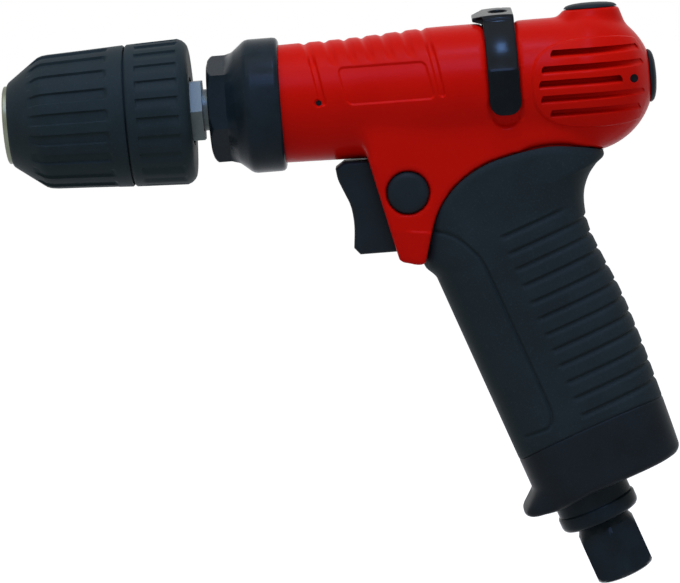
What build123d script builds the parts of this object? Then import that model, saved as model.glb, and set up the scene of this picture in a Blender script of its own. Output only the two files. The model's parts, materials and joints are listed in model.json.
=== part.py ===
# Reversible air drill with a pistol grip and a keyless chuck, in millimetres.
# X runs along the spindle with the nose towards -X, Z is up and Y = 0 is the middle plane.
# The origin is on the spindle axis, halfway along the gripping faces of the chuck jaws.

import os
from math import acos, cos, pi, radians, sin, tan

from build123d import *

os.makedirs("parts", exist_ok=True)

# Fits
running_gap = 0.05  # radial play of a shaft in its hole
seat_gap = 0.05  # room around a piece that stays in its seat
travel_gap = 0.35  # room around a piece that turns or slides past another
thin_web = 1.5  # least metal left between two hollows

# Chuck
jaw_grip = 18.0
jaw_slope = 15.0
jaw_radius = 3.5
jaw_length = 36.0
jaw_axis_at_nose = 1.0
shank_radius = 3.0  # rod that the jaws hold at rest
shank_radius_min = 1.0
shank_radius_max = 6.5
chuck_length = 55.8
nose_radius = 11.3
nose_stand_out = 3.0
sleeve_front_radius = 12.15
sleeve_shoulder = 12.9  # nose to the end of the front cone
sleeve_shoulder_radius = 19.4
front_sleeve_length = 37.9
sleeve_seam_radius = 20.6
sleeve_back_radius = 21.25
sleeve_edge = 2.0
sleeve_seam_gap = 0.5
sleeve_wall = 1.7
sleeve_lip = 1.3
sleeve_lip_radius = 13.5
flute_count = 20
flute_turn = 12.0
flute_width = 3.1
flute_depth = 0.6
flute_end = 33.0  # nose to the back of the flutes
flute_run_out = 4.5  # flute's rise along the front cone
chuck_nut_front = 20.5
chuck_nut_width = 7.0
chuck_nut_radius = 15.5
screw_head_radius = 4.4
screw_head_height = 3.5
screw_radius = 2.5
screw_length = 12.0

# Spindle and its bearing
spindle_thread_radius = 6.35
spindle_thread_length = 17.2
spindle_hex = 17.0
hex_stand_out = 3.3
spindle_radius = 6.0
spindle_bearing_radius = 12.0
spindle_bearing_width = 6.0
seal_radius = 9.5
seal_width = 4.0
flange_gap = 1.7
flange_radius = 11.4
flange_thickness = 4.0

# Clamp nut
chuck_gap = 1.8
nut_length = 21.1
nut_hex = 27.0
nut_hex_turn = 20.0
nut_hex_length = 6.3
nut_cone_length = 5.4
nut_radius = 19.35
nut_edge = 1.4
nut_floor = 2.1
spigot_length = 6.7
spigot_radius = 16.25

# Planetary gear
gear_module = 0.6
sun_teeth = 12
planet_teeth = 15
ring_teeth = 42
planet_count = 3
pressure_angle = 25.0
backlash = 0.10
ring_width = 10.0
planet_pin_radius = 1.5
retainer_thickness = 1.2
case_lip = 1.5
case_tail = 5.0

# Motor
motor_radius = 14.95
rotor_radius = 10.2
rotor_shaft_radius = 4.5
rotor_bearing_radius = 8.5
rotor_bearing_width = 5.0
cylinder_length = 36.3
cylinder_bore = 11.9
cylinder_offset = 1.5
plate_thickness = 7.0
vane_count = 5
vane_thickness = 1.6
vane_height = 4.8
washer_thickness = 1.2
dowel_radius = 0.7

# Housing
housing_length = 106.4
barrel_front_radius = 17.1
barrel_waist_radius = 17.55
barrel_waist = 22.5
barrel_radius = 18.75
barrel_swell = 44.0
dome_radius = 20.7
dome_setback = 87.0
chamber_radius = 11.0
end_wall = 8.0
boss_setback = 90.9
boss_radius = 8.1
boss_foot_radius = 10.4
boss_height = 20.3
plug_head_radius = 7.7
plug_head_height = 2.1
plug_thread_radius = 6.2
plug_thread_length = 7.0
grill_shift = 3.0
grill_half_length = 17.0
grill_half_height = 12.8
pad_rise = 0.7
grill_pitch = 4.2
grill_width = 2.4
grill_depth = 1.8
grill_lengths = (24.0, 29.0, 24.0, 29.0, 25.0)
grill_starts = (5.2, 2.0, 1.2, 2.0, 4.6)
pin_radius = 1.2
pin_bite = 1.1
pin_recess = 1.0
lock_setback = 5.3

# Hanger strap over the barrel
strap_setback = 63.3
strap_width = 8.4
strap_thickness = 1.7
strap_drop = 7.0
strap_top = 23.1
strap_bend = 7.0
strap_plate = 2.4
strap_plate_half_width = 6.5
strap_tongue = 7.1
eye_radius = 2.65
channel_room = 0.8
channel_depth = 1.2
channel_drop = 10.0

# Column behind the trigger
column_setback = 19.4
column_lean = 14.5
column_half_width = 16.0
column_bottom = 46.6
column_edge = 3.0

# Handle and grip
handle_setback = 46.0
handle_lean = 20.0
grip_front = 23.2
grip_width = 34.0
grip_corner = 13.0
grip_wall = 3.2
grip_length = 106.5
cap_length = 17.5
cap_floor = 3.2
cap_edge = 4.0
seam_gap = 0.4
grip_backs = ((24.0, 40.0), (35.2, 35.2), (39.8, 28.5), (46.0, 24.6), (54.0, 23.1),
              (74.0, 24.0), (90.0, 23.6))
seam_back = 22.4
cap_back = 21.1
grip_edge = ((-8.4, -48.9), (-2.6, -32.0), (8.7, -22.0), (27.0, -17.7), (48.0, -21.4))
rib_count = 12
rib_top = 44.3  # down the handle to the first rib groove
rib_pitch = 5.11
rib_width = 2.0
rib_depth = 0.8
rib_front = 21.2  # grip's front to the start of the rib grooves
panel_groove = 1.4
panel_depth = 0.6
panel_bottom = 100.2
panel_line = ((5.6, 35.7), (9.7, 39.1), (12.3, 43.8), (14.1, 49.0))  # behind the front, down the handle
lobe_radius = 2.8
lobe_reach = 4.6
lobe_half_width = 11.0
core_tail = 9.8
exhaust_offset = 8.0
exhaust_radius = 5.5
muffler_thickness = 4.0

# Air inlet
inlet_offset = 8.3
inlet_hex = 17.0
inlet_hex_turn = 24.0
inlet_hex_length = 17.8
inlet_thread_radius = 5.56
inlet_thread_length = 13.0
inlet_bore = 4.3
inlet_shank_radius = 8.0
inlet_shank_length = 14.0
neck_radius = 11.4
neck_length = 4.4
collar_radius = 12.0
collar_length = 4.7
collar_edge = 2.0
screen_length = 9.0
screen_wall = 0.6

# Trigger and throttle valve
trigger_travel = 3.5
trigger_overlap = 0.8
trigger_half_width = 9.0
trigger_height = 26.9
trigger_reach_top = 10.2
trigger_reach_bottom = 12.8
trigger_hollow = 1.3
trigger_edge = 1.4
stem_drop = 36.3
stem_radius = 1.6
stem_socket = 4.0
valve_bore = 4.2
bush_length = 3.7
valve_gallery = 5.0
seat_width = 2.5
seat_bore = 2.6
poppet_radius = 3.4
poppet_width = 2.7
spring_length = 8.5
spring_wire = 0.35
spring_radius = 2.7
spring_turns = 6
gallery_radius = 2.0

# Reverse button
button_drop = 27.6
button_setback = 34.3
button_radius = 6.0
button_thickness = 3.2
button_stand_out = 0.8
button_dome = 0.7
reverse_throw = 3.5
rod_radius = 2.4
rod_groove_radius = 1.5
stop_pin_radius = 0.9
stop_pin_length = 5.0
rod_seal_radius = 4.0
rod_seal_width = 1.6

# Stations along the spindle
nose_x = -jaw_grip / 2
seam_x = nose_x + front_sleeve_length
chuck_back_x = nose_x + chuck_length
body_back_x = chuck_back_x - sleeve_lip
hex_back_x = chuck_back_x + hex_stand_out
nut_front_x = hex_back_x + chuck_gap
nut_shoulder_x = nut_front_x + nut_hex_length
nut_cone_x = nut_shoulder_x + nut_cone_length
housing_x = nut_front_x + nut_length
spigot_x = housing_x - spigot_length
case_x = nut_shoulder_x + nut_floor
spindle_bearing_x = case_x + case_lip
flange_x = spindle_bearing_x + spindle_bearing_width + flange_gap
flange_back_x = flange_x + flange_thickness
ring_x = flange_back_x + travel_gap
ring_back_x = ring_x + ring_width
planet_x = ring_x + travel_gap
planet_back_x = ring_back_x - 2 * travel_gap
retainer_x = planet_back_x + travel_gap
retainer_back_x = retainer_x + retainer_thickness
case_back_x = ring_back_x + case_tail
cylinder_x = case_back_x + plate_thickness
cylinder_back_x = cylinder_x + cylinder_length
stack_back_x = cylinder_back_x + plate_thickness
chamber_x = stack_back_x + washer_thickness
housing_back_x = housing_x + housing_length
chamber_back_x = housing_back_x - end_wall
dome_x = housing_x + dome_setback
boss_x = housing_x + boss_setback
strap_x = housing_x + strap_setback
button_x = housing_x + button_setback

# The handle's line leaves the spindle axis here and leans back going down
handle_plane = Plane(
    origin=(housing_x + handle_setback, 0, 0),
    x_dir=(cos(radians(handle_lean)), 0, sin(radians(handle_lean))),
    z_dir=(sin(radians(handle_lean)), 0, -cos(radians(handle_lean))),
)
cap_bottom = grip_length + cap_length
core_bottom = grip_length + core_tail
collar_top = cap_bottom + neck_length
collar_bottom = collar_top + collar_length
inlet_mouth = collar_bottom + inlet_hex_length
inlet_plane = handle_plane.shift_origin(handle_plane.from_local_coords((-inlet_offset, 0, 0)))
bore_radius = motor_radius + seat_gap
sun_centre = gear_module * (sun_teeth + planet_teeth) / 2


def finish(piece, name):
    piece.part.label = name
    export_step(piece.part, "parts/" + name + ".step")


def section(points, edge=0.0, edge_at=None):
    """Half section in (x, radius) points for turning about X, with the corner at edge_at rounded."""
    with BuildSketch(Plane.XZ) as outline:
        with BuildLine():
            Polyline(*points, close=True)
        make_face()
        if edge_at is not None:
            corner = outline.vertices().sort_by_distance(edge_at)[0]
            fillet(corner, radius=edge)
    return outline.sketch


def ring(start_x, end_x, outer, inner):
    """Plain ring about X."""
    with BuildPart() as piece:
        with BuildSketch(Plane.YZ.offset(start_x)):
            Circle(outer)
            Circle(inner, mode=Mode.SUBTRACT)
        extrude(amount=end_x - start_x)
    return piece


def column_front(z):
    """X of the column's front edge at height z."""
    return housing_x + column_setback - z * tan(radians(column_lean))


def jaw_outside(station):
    """Radius of a jaw's outer side at a distance behind the nose."""
    slope = radians(jaw_slope)
    return jaw_axis_at_nose + station * tan(slope) + jaw_radius / cos(slope)


def jaw_plane(index):
    """Plane across a jaw, on the jaw's own axis at the chuck's nose, facing back."""
    turn = radians(90 + 120 * index)
    slope = radians(jaw_slope)
    out_y, out_z = cos(turn), sin(turn)
    return Plane(
        origin=(nose_x, jaw_axis_at_nose * out_y, jaw_axis_at_nose * out_z),
        x_dir=(0, -out_z, out_y),
        z_dir=(cos(slope), sin(slope) * out_y, sin(slope) * out_z),
    )


def nose_plane(index):
    """Plane of the chuck's nose, facing back, with its Y direction along a jaw's radius."""
    turn = radians(90 + 120 * index)
    return Plane(origin=(nose_x, 0, 0), x_dir=(0, sin(turn), -cos(turn)), z_dir=(1, 0, 0))


def tooth_points(teeth, inner, outer, phase, play):
    """Outline of a gear with involute flanks; phase is the angle of one tooth."""
    pitch_radius = gear_module * teeth / 2
    base_radius = pitch_radius * cos(radians(pressure_angle))
    flank_start = max(inner, base_radius)
    flank = [inner] if inner < base_radius else []
    flank += [flank_start + (outer - flank_start) * step / 3 for step in range(4)]

    def involute(radius):
        roll = acos(min(1.0, base_radius / radius))
        return tan(roll) - roll

    at_pitch = pi / (2 * teeth) - play / (2 * pitch_radius) + involute(pitch_radius)
    half_angles = [at_pitch - involute(max(radius, base_radius)) for radius in flank]
    rising = list(zip(flank, half_angles))
    points = []
    for tooth in range(teeth):
        middle = radians(phase) + 2 * pi * tooth / teeth
        sides = [(radius, middle - half) for radius, half in rising]
        sides += [(radius, middle + half) for radius, half in reversed(rising)]
        points += [(radius * cos(angle), radius * sin(angle)) for radius, angle in sides]
    return points


def ball_bearing(name, start_x, width, inner, outer):
    """Ball bearing about X as an inner ring, an outer ring and a set of balls."""
    section = outer - inner
    middle = (inner + outer) / 2
    middle_x = start_x + width / 2
    ball = section * 0.26
    groove = ball + running_gap
    shoulder = section * 0.32
    races = (("_inner_ring", inner + shoulder, inner), ("_outer_ring", outer, outer - shoulder))
    for suffix, ring_outside, ring_inside in races:
        with BuildPart() as race:
            with BuildSketch(Plane.YZ.offset(start_x)):
                Circle(ring_outside)
                Circle(ring_inside, mode=Mode.SUBTRACT)
            extrude(amount=width)
            with Locations((middle_x, 0, 0)):
                Torus(middle, groove, rotation=(0, 90, 0), mode=Mode.SUBTRACT)
        finish(race, name + suffix)
    ball_count = int(2 * pi * middle / (ball * 2.6))
    with BuildPart() as balls:
        with Locations(Plane.YZ.offset(middle_x)):
            with PolarLocations(middle, ball_count):
                Sphere(ball)
    finish(balls, name + "_balls")


def handle_form(inset):
    """Handle from the barrel down to the end of the cap, drawn in on every side by the inset."""
    ends = ((grip_length, seam_back), (cap_bottom, cap_back))
    with BuildPart() as form:
        for depth, back in grip_backs + ends:
            with BuildSketch(handle_plane.offset(depth)):
                with Locations(((back - grip_front) / 2, 0)):
                    RectangleRounded(
                        back + grip_front - 2 * inset, grip_width - 2 * inset, grip_corner - inset
                    )
        loft(ruled=True)
    return form.part


def over_grip(half_width):
    """Space over the line where the grip ends, behind the column's front edge."""
    foot = (column_front(-column_bottom), -column_bottom)
    with BuildPart() as space:
        with BuildSketch(Plane.XZ):
            with BuildLine():
                edge = Spline(*[(handle_plane.origin.X + x, z) for x, z in grip_edge])
                Polyline(edge @ 1, (housing_back_x, 0), (column_front(0), 0), foot, edge @ 0)
            make_face()
        extrude(amount=half_width, both=True)
    return space.part


# Chuck body with its jaw holes, nut groove, spindle thread and shank bore
nut_groove_radius = jaw_outside(chuck_nut_front) - travel_gap / 2
nut_groove_end = chuck_nut_front + chuck_nut_width + travel_gap
body_radius = sleeve_seam_radius - sleeve_wall - travel_gap
shank_bore = shank_radius_max + travel_gap
thread_floor_x = body_back_x - spindle_thread_length
shank_floor_x = thread_floor_x - 2 * running_gap - thin_web
jaw_opening = (shank_radius_max - shank_radius) / sin(radians(jaw_slope))
with BuildPart() as chuck_body:
    revolve(section([
        (nose_x, 0),
        (nose_x, nose_radius),
        (nose_x + chuck_nut_front - travel_gap, nose_radius),
        (nose_x + chuck_nut_front - travel_gap, nut_groove_radius),
        (nose_x + nut_groove_end, nut_groove_radius),
        (nose_x + nut_groove_end, body_radius),
        (body_back_x, body_radius),
        (body_back_x, 0),
    ], edge=1.0, edge_at=(nose_x, nose_radius)), axis=Axis.X)
    with BuildSketch(Plane.YZ.offset(nose_x)):
        Circle(shank_bore)
    extrude(amount=shank_floor_x - nose_x, mode=Mode.SUBTRACT)
    with BuildSketch(Plane.YZ.offset(thread_floor_x - 2 * running_gap)):
        Circle(spindle_thread_radius + seat_gap)
    extrude(amount=body_back_x - thread_floor_x + 2 * running_gap, mode=Mode.SUBTRACT)
    with BuildSketch(Plane.YZ.offset(shank_floor_x)):
        Circle(screw_radius + seat_gap)
    extrude(amount=thread_floor_x - shank_floor_x, mode=Mode.SUBTRACT)
    for index in range(3):
        with BuildSketch(jaw_plane(index).offset(-jaw_radius)):
            Circle(jaw_radius + running_gap)
        extrude(amount=jaw_radius + jaw_length + jaw_opening + travel_gap, mode=Mode.SUBTRACT)
finish(chuck_body, "chuck_body")

# Three jaws, each a slanting rod with a hollowed gripping face and a pointed inner side
jaw_point = shank_radius - shank_radius_min + running_gap
for index in range(3):
    with BuildPart() as jaw:
        with BuildSketch(jaw_plane(index).offset(-jaw_radius)):
            Circle(jaw_radius)
        extrude(amount=jaw_radius + jaw_length)
        with BuildSketch(nose_plane(index)):
            Polygon(
                (0, jaw_point),
                (chuck_nut_radius, jaw_point + chuck_nut_radius / tan(radians(60))),
                (0, 2 * chuck_nut_radius),
                (-chuck_nut_radius, jaw_point + chuck_nut_radius / tan(radians(60))),
                align=None,
            )
        extrude(amount=chuck_length, mode=Mode.INTERSECT)
        with BuildSketch(Plane.YZ.offset(nose_x)):
            Circle(shank_radius)
        extrude(amount=jaw_grip, mode=Mode.SUBTRACT)
        with BuildSketch(Plane.YZ.offset(nose_x + jaw_grip)):
            Circle(shank_radius + travel_gap)
        extrude(amount=jaw_length, mode=Mode.SUBTRACT)
    finish(jaw, "chuck_jaw_" + str(index + 1))

# Nut that drives the jaws, and the fluted sleeve that turns it
nut_x = nose_x + chuck_nut_front
nut_end_x = nut_x + chuck_nut_width
with BuildPart() as chuck_nut:
    revolve(section([
        (nut_x, jaw_outside(chuck_nut_front) + travel_gap),
        (nut_x, chuck_nut_radius),
        (nut_end_x, chuck_nut_radius),
        (nut_end_x, jaw_outside(chuck_nut_front + chuck_nut_width) + travel_gap),
    ]), axis=Axis.X)
finish(chuck_nut, "chuck_nut")

sleeve_x = nose_x + nose_stand_out
shoulder_x = nose_x + sleeve_shoulder
front_end_x = seam_x - sleeve_seam_gap
flute_x = shoulder_x - flute_run_out
flute_end_x = nose_x + flute_end
cone_rise = (sleeve_shoulder_radius - sleeve_front_radius) / (shoulder_x - sleeve_x)
side_rise = (sleeve_seam_radius - sleeve_shoulder_radius) / (front_end_x - shoulder_x)
with BuildPart() as flutes:
    with BuildSketch(Plane.YZ.offset(flute_x)):
        with PolarLocations(sleeve_seam_radius, flute_count, start_angle=flute_turn):
            Rectangle(2 * (sleeve_seam_radius - sleeve_front_radius), flute_width)
    extrude(amount=flute_end_x - flute_x)
    revolve(section([
        (flute_x, 0),
        (flute_x, sleeve_shoulder_radius - flute_run_out * cone_rise),
        (shoulder_x, sleeve_shoulder_radius - flute_depth),
        (flute_end_x, sleeve_shoulder_radius + (flute_end_x - shoulder_x) * side_rise - flute_depth),
        (flute_end_x, 0),
    ]), axis=Axis.X, mode=Mode.SUBTRACT)

with BuildPart() as front_sleeve:
    revolve(section([
        (sleeve_x, nose_radius + travel_gap),
        (sleeve_x, sleeve_front_radius),
        (shoulder_x, sleeve_shoulder_radius),
        (front_end_x, sleeve_seam_radius),
        (front_end_x, body_radius + travel_gap),
        (nut_end_x, body_radius + travel_gap),
        (nut_end_x, chuck_nut_radius + seat_gap),
        (nut_x, chuck_nut_radius + seat_gap),
        (nut_x, nose_radius + travel_gap),
    ], edge=sleeve_edge, edge_at=(shoulder_x, sleeve_shoulder_radius)), axis=Axis.X)
    add(flutes.part, mode=Mode.SUBTRACT)
finish(front_sleeve, "chuck_front_sleeve")

with BuildPart() as rear_sleeve:
    revolve(section([
        (seam_x, body_radius + seat_gap),
        (seam_x, sleeve_seam_radius),
        (chuck_back_x, sleeve_back_radius),
        (chuck_back_x, sleeve_lip_radius),
        (body_back_x, sleeve_lip_radius),
        (body_back_x, body_radius + seat_gap),
    ], edge=sleeve_edge, edge_at=(chuck_back_x, sleeve_back_radius)), axis=Axis.X)
finish(rear_sleeve, "chuck_rear_sleeve")

# Left-hand screw through the chuck into the spindle
screw_tip_x = shank_floor_x + screw_length
with BuildPart() as chuck_screw:
    revolve(section([
        (shank_floor_x - screw_head_height, 0),
        (shank_floor_x - screw_head_height, screw_head_radius),
        (shank_floor_x, screw_head_radius),
        (shank_floor_x, screw_radius),
        (screw_tip_x, screw_radius),
        (screw_tip_x, 0),
    ]), axis=Axis.X)
    with BuildSketch(Plane.YZ.offset(shank_floor_x - screw_head_height)):
        RegularPolygon(screw_radius, 6)
    extrude(amount=screw_head_height - 1, mode=Mode.SUBTRACT)
finish(chuck_screw, "chuck_screw")

# Spindle, one piece with the planet carrier
with BuildPart() as spindle:
    revolve(section([
        (thread_floor_x, 0),
        (thread_floor_x, spindle_thread_radius),
        (body_back_x, spindle_thread_radius),
        (body_back_x, spindle_radius),
        (flange_x, spindle_radius),
        (flange_x, flange_radius),
        (flange_back_x, flange_radius),
        (flange_back_x, 0),
    ]), axis=Axis.X)
    with BuildSketch(Plane.YZ.offset(body_back_x)):
        RegularPolygon(spindle_hex / 2, 6, major_radius=False)
    extrude(amount=hex_back_x - body_back_x)
    with BuildSketch(Plane.YZ.offset(thread_floor_x)):
        Circle(screw_radius + seat_gap)
    extrude(amount=screw_tip_x - thread_floor_x + 1, mode=Mode.SUBTRACT)
    with BuildSketch(Plane.YZ.offset(flange_x)):
        with PolarLocations(sun_centre, planet_count, start_angle=90):
            Circle(planet_pin_radius + seat_gap)
    extrude(amount=flange_thickness, mode=Mode.SUBTRACT)
finish(spindle, "spindle")

with BuildPart() as planet_pins:
    with BuildSketch(Plane.YZ.offset(flange_x)):
        with PolarLocations(sun_centre, planet_count, start_angle=90):
            Circle(planet_pin_radius)
    extrude(amount=retainer_back_x - flange_x)
finish(planet_pins, "planet_pins")

with BuildPart() as planet_retainer:
    with BuildSketch(Plane.YZ.offset(retainer_x)):
        Circle(flange_radius)
        Circle(rotor_shaft_radius + travel_gap, mode=Mode.SUBTRACT)
        with PolarLocations(sun_centre, planet_count, start_angle=90):
            Circle(planet_pin_radius + seat_gap, mode=Mode.SUBTRACT)
    extrude(amount=retainer_thickness)
finish(planet_retainer, "planet_retainer")

# Planet gears on the carrier pins
addendum = 0.9 * gear_module
dedendum = 1.25 * gear_module
planet_radius = gear_module * planet_teeth / 2
for index in range(planet_count):
    turn = 90 + 360 * index / planet_count
    centre = (sun_centre * cos(radians(turn)), sun_centre * sin(radians(turn)))
    with BuildPart() as planet:
        with BuildSketch(Plane.YZ.offset(planet_x)):
            with Locations(centre):
                Polygon(
                    *tooth_points(planet_teeth, planet_radius - dedendum,
                                  planet_radius + addendum, turn, backlash),
                    align=None,
                )
                Circle(planet_pin_radius + running_gap, mode=Mode.SUBTRACT)
        extrude(amount=planet_back_x - planet_x)
    finish(planet, "planet_gear_" + str(index + 1))

# Ring gear, one piece with the gear case that holds the spindle bearing
ring_radius = gear_module * ring_teeth / 2
ring_tip = ring_radius - 0.8 * gear_module
case_bore = spindle_bearing_radius + seat_gap
tail_bore = ring_radius + dedendum + thin_web / 10
with BuildPart() as ring_gear:
    revolve(section([
        (case_x, seal_radius),
        (case_x, motor_radius),
        (case_back_x, motor_radius),
        (case_back_x, tail_bore),
        (ring_back_x, tail_bore),
        (ring_back_x, ring_tip),
        (ring_x, ring_tip),
        (ring_x, case_bore),
        (spindle_bearing_x, case_bore),
        (spindle_bearing_x, seal_radius),
    ]), axis=Axis.X)
    with BuildSketch(Plane.YZ.offset(ring_x)):
        Polygon(
            *tooth_points(ring_teeth, ring_tip - gear_module / 4, ring_radius + dedendum,
                          90, -backlash),
            align=None,
        )
    extrude(amount=ring_width, mode=Mode.SUBTRACT)
    for side in (-1, 1):
        with BuildSketch(Plane.XZ.offset(-side * (motor_radius - pin_bite))):
            with Locations((ring_back_x, 0)):
                Circle(pin_radius + seat_gap)
        extrude(amount=-side * motor_radius, mode=Mode.SUBTRACT)
finish(ring_gear, "ring_gear")

ball_bearing("spindle_bearing", spindle_bearing_x, spindle_bearing_width,
             spindle_radius + running_gap, spindle_bearing_radius)

# Clamp nut with its wrench flats, and the shaft seal in its front wall
seal_x = nut_shoulder_x + nut_floor - seal_width
with BuildPart() as clamp_nut:
    revolve(section([
        (nut_front_x, spindle_radius + 2 * travel_gap),
        (nut_front_x, nut_hex / 2 / cos(radians(30))),
        (nut_shoulder_x, nut_hex / 2 / cos(radians(30))),
        (nut_cone_x, nut_radius),
        (housing_x, nut_radius),
        (housing_x, spigot_radius + seat_gap),
        (spigot_x, spigot_radius + seat_gap),
        (spigot_x, bore_radius),
        (case_x, bore_radius),
        (case_x, seal_radius + seat_gap),
        (seal_x, seal_radius + seat_gap),
        (seal_x, spindle_radius + 2 * travel_gap),
    ], edge=nut_edge, edge_at=(housing_x, nut_radius)), axis=Axis.X)
    with BuildSketch(Plane.YZ.offset(nut_front_x)):
        Circle(nut_radius)
        RegularPolygon(nut_hex / 2, 6, major_radius=False, rotation=nut_hex_turn, mode=Mode.SUBTRACT)
    extrude(amount=nut_hex_length, mode=Mode.SUBTRACT)
finish(clamp_nut, "clamp_nut")

spindle_seal = ring(seal_x, case_x, seal_radius, spindle_radius + running_gap)
finish(spindle_seal, "spindle_seal")

# Air motor: end plates with their bearings, cylinder, rotor, vanes and dowels
plate_wall = plate_thickness - rotor_bearing_width
front_bearing_x = case_back_x
rear_bearing_x = stack_back_x - rotor_bearing_width
shaft_hole = rotor_shaft_radius + travel_gap
pocket = rotor_bearing_radius + seat_gap
dowel_circle = (motor_radius + cylinder_bore - cylinder_offset) / 2
plates = (
    ("front_end_plate", case_back_x, front_bearing_x),
    ("rear_end_plate", cylinder_back_x, rear_bearing_x),
)
for name, start_x, pocket_x in plates:
    with BuildPart() as plate:
        with BuildSketch(Plane.YZ.offset(start_x)):
            Circle(motor_radius)
            Circle(shaft_hole, mode=Mode.SUBTRACT)
            with Locations((0, -dowel_circle)):
                Circle(dowel_radius + seat_gap, mode=Mode.SUBTRACT)
        extrude(amount=plate_thickness)
        with BuildSketch(Plane.YZ.offset(pocket_x)):
            Circle(pocket)
        extrude(amount=rotor_bearing_width, mode=Mode.SUBTRACT)
    finish(plate, name)

ball_bearing("front_rotor_bearing", front_bearing_x, rotor_bearing_width,
             rotor_shaft_radius + running_gap, rotor_bearing_radius)
ball_bearing("rear_rotor_bearing", rear_bearing_x, rotor_bearing_width,
             rotor_shaft_radius + running_gap, rotor_bearing_radius)

with BuildPart() as motor_cylinder:
    with BuildSketch(Plane.YZ.offset(cylinder_x)):
        Circle(motor_radius)
        with Locations((0, cylinder_offset)):
            Circle(cylinder_bore, mode=Mode.SUBTRACT)
        with Locations((0, -dowel_circle)):
            Circle(dowel_radius + seat_gap, mode=Mode.SUBTRACT)
    extrude(amount=cylinder_length)
finish(motor_cylinder, "motor_cylinder")

with BuildPart() as cylinder_dowel:
    with BuildSketch(Plane.YZ.offset(cylinder_x - plate_wall)):
        with Locations((0, -dowel_circle)):
            Circle(dowel_radius)
    extrude(amount=cylinder_length + 2 * plate_wall)
finish(cylinder_dowel, "cylinder_dowel")

rotor_x = cylinder_x + travel_gap
rotor_back_x = cylinder_back_x - travel_gap
slot_room = vane_thickness + 2 * running_gap
with BuildPart() as rotor:
    with BuildSketch(Plane.YZ.offset(planet_x)):
        Polygon(
            *tooth_points(sun_teeth, gear_module * sun_teeth / 2 - dedendum,
                          gear_module * sun_teeth / 2 + addendum, 90, backlash),
            align=None,
        )
    extrude(amount=retainer_x - planet_x)
    with BuildSketch(Plane.YZ.offset(retainer_x)):
        Circle(rotor_shaft_radius)
    extrude(amount=stack_back_x - retainer_x)
    with BuildSketch(Plane.YZ.offset(rotor_x)):
        Circle(rotor_radius)
        with PolarLocations(rotor_radius - vane_height / 2, vane_count, start_angle=90):
            Rectangle(vane_height + 4 * running_gap, slot_room, mode=Mode.SUBTRACT)
    extrude(amount=rotor_back_x - rotor_x)
finish(rotor, "rotor")

with BuildPart() as rotor_vanes:
    with BuildSketch(Plane.YZ.offset(rotor_x)):
        with PolarLocations(rotor_radius - vane_height / 2, vane_count, start_angle=90):
            Rectangle(vane_height, vane_thickness)
    extrude(amount=rotor_back_x - rotor_x)
finish(rotor_vanes, "rotor_vanes")

stack_washer = ring(stack_back_x, chamber_x, motor_radius, rotor_bearing_radius)
finish(stack_washer, "stack_washer")

# Housing: barrel, domed back, plug boss, column and handle core in one casting
stem_z = -stem_drop
pocket_back = trigger_overlap + trigger_travel + travel_gap
trigger_top = -(barrel_waist_radius + travel_gap)
trigger_bottom = trigger_top - trigger_height
bush_x = column_front(stem_z - valve_bore) + pocket_back
seat_x = bush_x + bush_length + valve_gallery
poppet_x = seat_x + seat_width
spring_x = poppet_x + poppet_width
valve_end_x = spring_x + spring_length
gallery_x = bush_x + bush_length + valve_gallery / 2
channel_floor = barrel_radius - channel_depth
channel_width = strap_width + 2 * channel_room
plug_bore = plug_thread_radius + seat_gap
rod_seal_room = rod_seal_width + 2 * seat_gap
stop_pin_x = button_x + rod_groove_radius + travel_gap / 2
lock_x = housing_back_x - lock_setback
button_recess = column_half_width + button_stand_out - button_thickness - travel_gap
rod_seal_offset = (trigger_half_width + travel_gap + button_recess) / 2
core = handle_form(grip_wall + seat_gap)
column_space = over_grip(column_half_width)
saddle_x = handle_plane.origin.X + grip_edge[-2][0]
front_line = Axis((0, 0, 0), (tan(radians(column_lean)), 0, -1))
with BuildPart() as column:
    add(column_space)
    fillet(column.edges().filter_by(front_line), radius=column_edge)
    split(bisect_by=Plane.YZ.offset(saddle_x), keep=Keep.BOTTOM)

# Oval pads of the exhaust grills, raised on both sides of the back, and the grooves in them
grill_x = dome_x + grill_shift
with BuildPart() as grill_pads:
    with BuildSketch(Plane.XZ):
        with Locations((grill_x, 0)):
            Ellipse(grill_half_length, grill_half_height)
    extrude(amount=2 * dome_radius, both=True)
    with BuildSketch(Plane.YZ.offset(strap_x)):
        Circle(barrel_radius + pad_rise)
    barrel_skin = extrude(amount=dome_x - strap_x, mode=Mode.PRIVATE)
    with Locations((dome_x, 0, 0)):
        dome_skin = Sphere(dome_radius + pad_rise, mode=Mode.PRIVATE)
    add(barrel_skin + dome_skin, mode=Mode.INTERSECT)

with BuildPart() as grill_grooves:
    with BuildSketch(Plane.XZ):
        for row, (start, length) in enumerate(zip(grill_starts, grill_lengths)):
            with Locations((grill_x - grill_half_length + start + length / 2, (2 - row) * grill_pitch)):
                SlotOverall(length, grill_width)
    extrude(amount=2 * dome_radius, both=True)
    with Locations((dome_x, 0, 0)):
        Sphere(dome_radius + pad_rise - grill_depth, mode=Mode.SUBTRACT)
    with BuildSketch(Plane.YZ.offset(strap_x)):
        Circle(barrel_radius + pad_rise - grill_depth)
    extrude(amount=dome_x - strap_x, mode=Mode.SUBTRACT)

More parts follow.
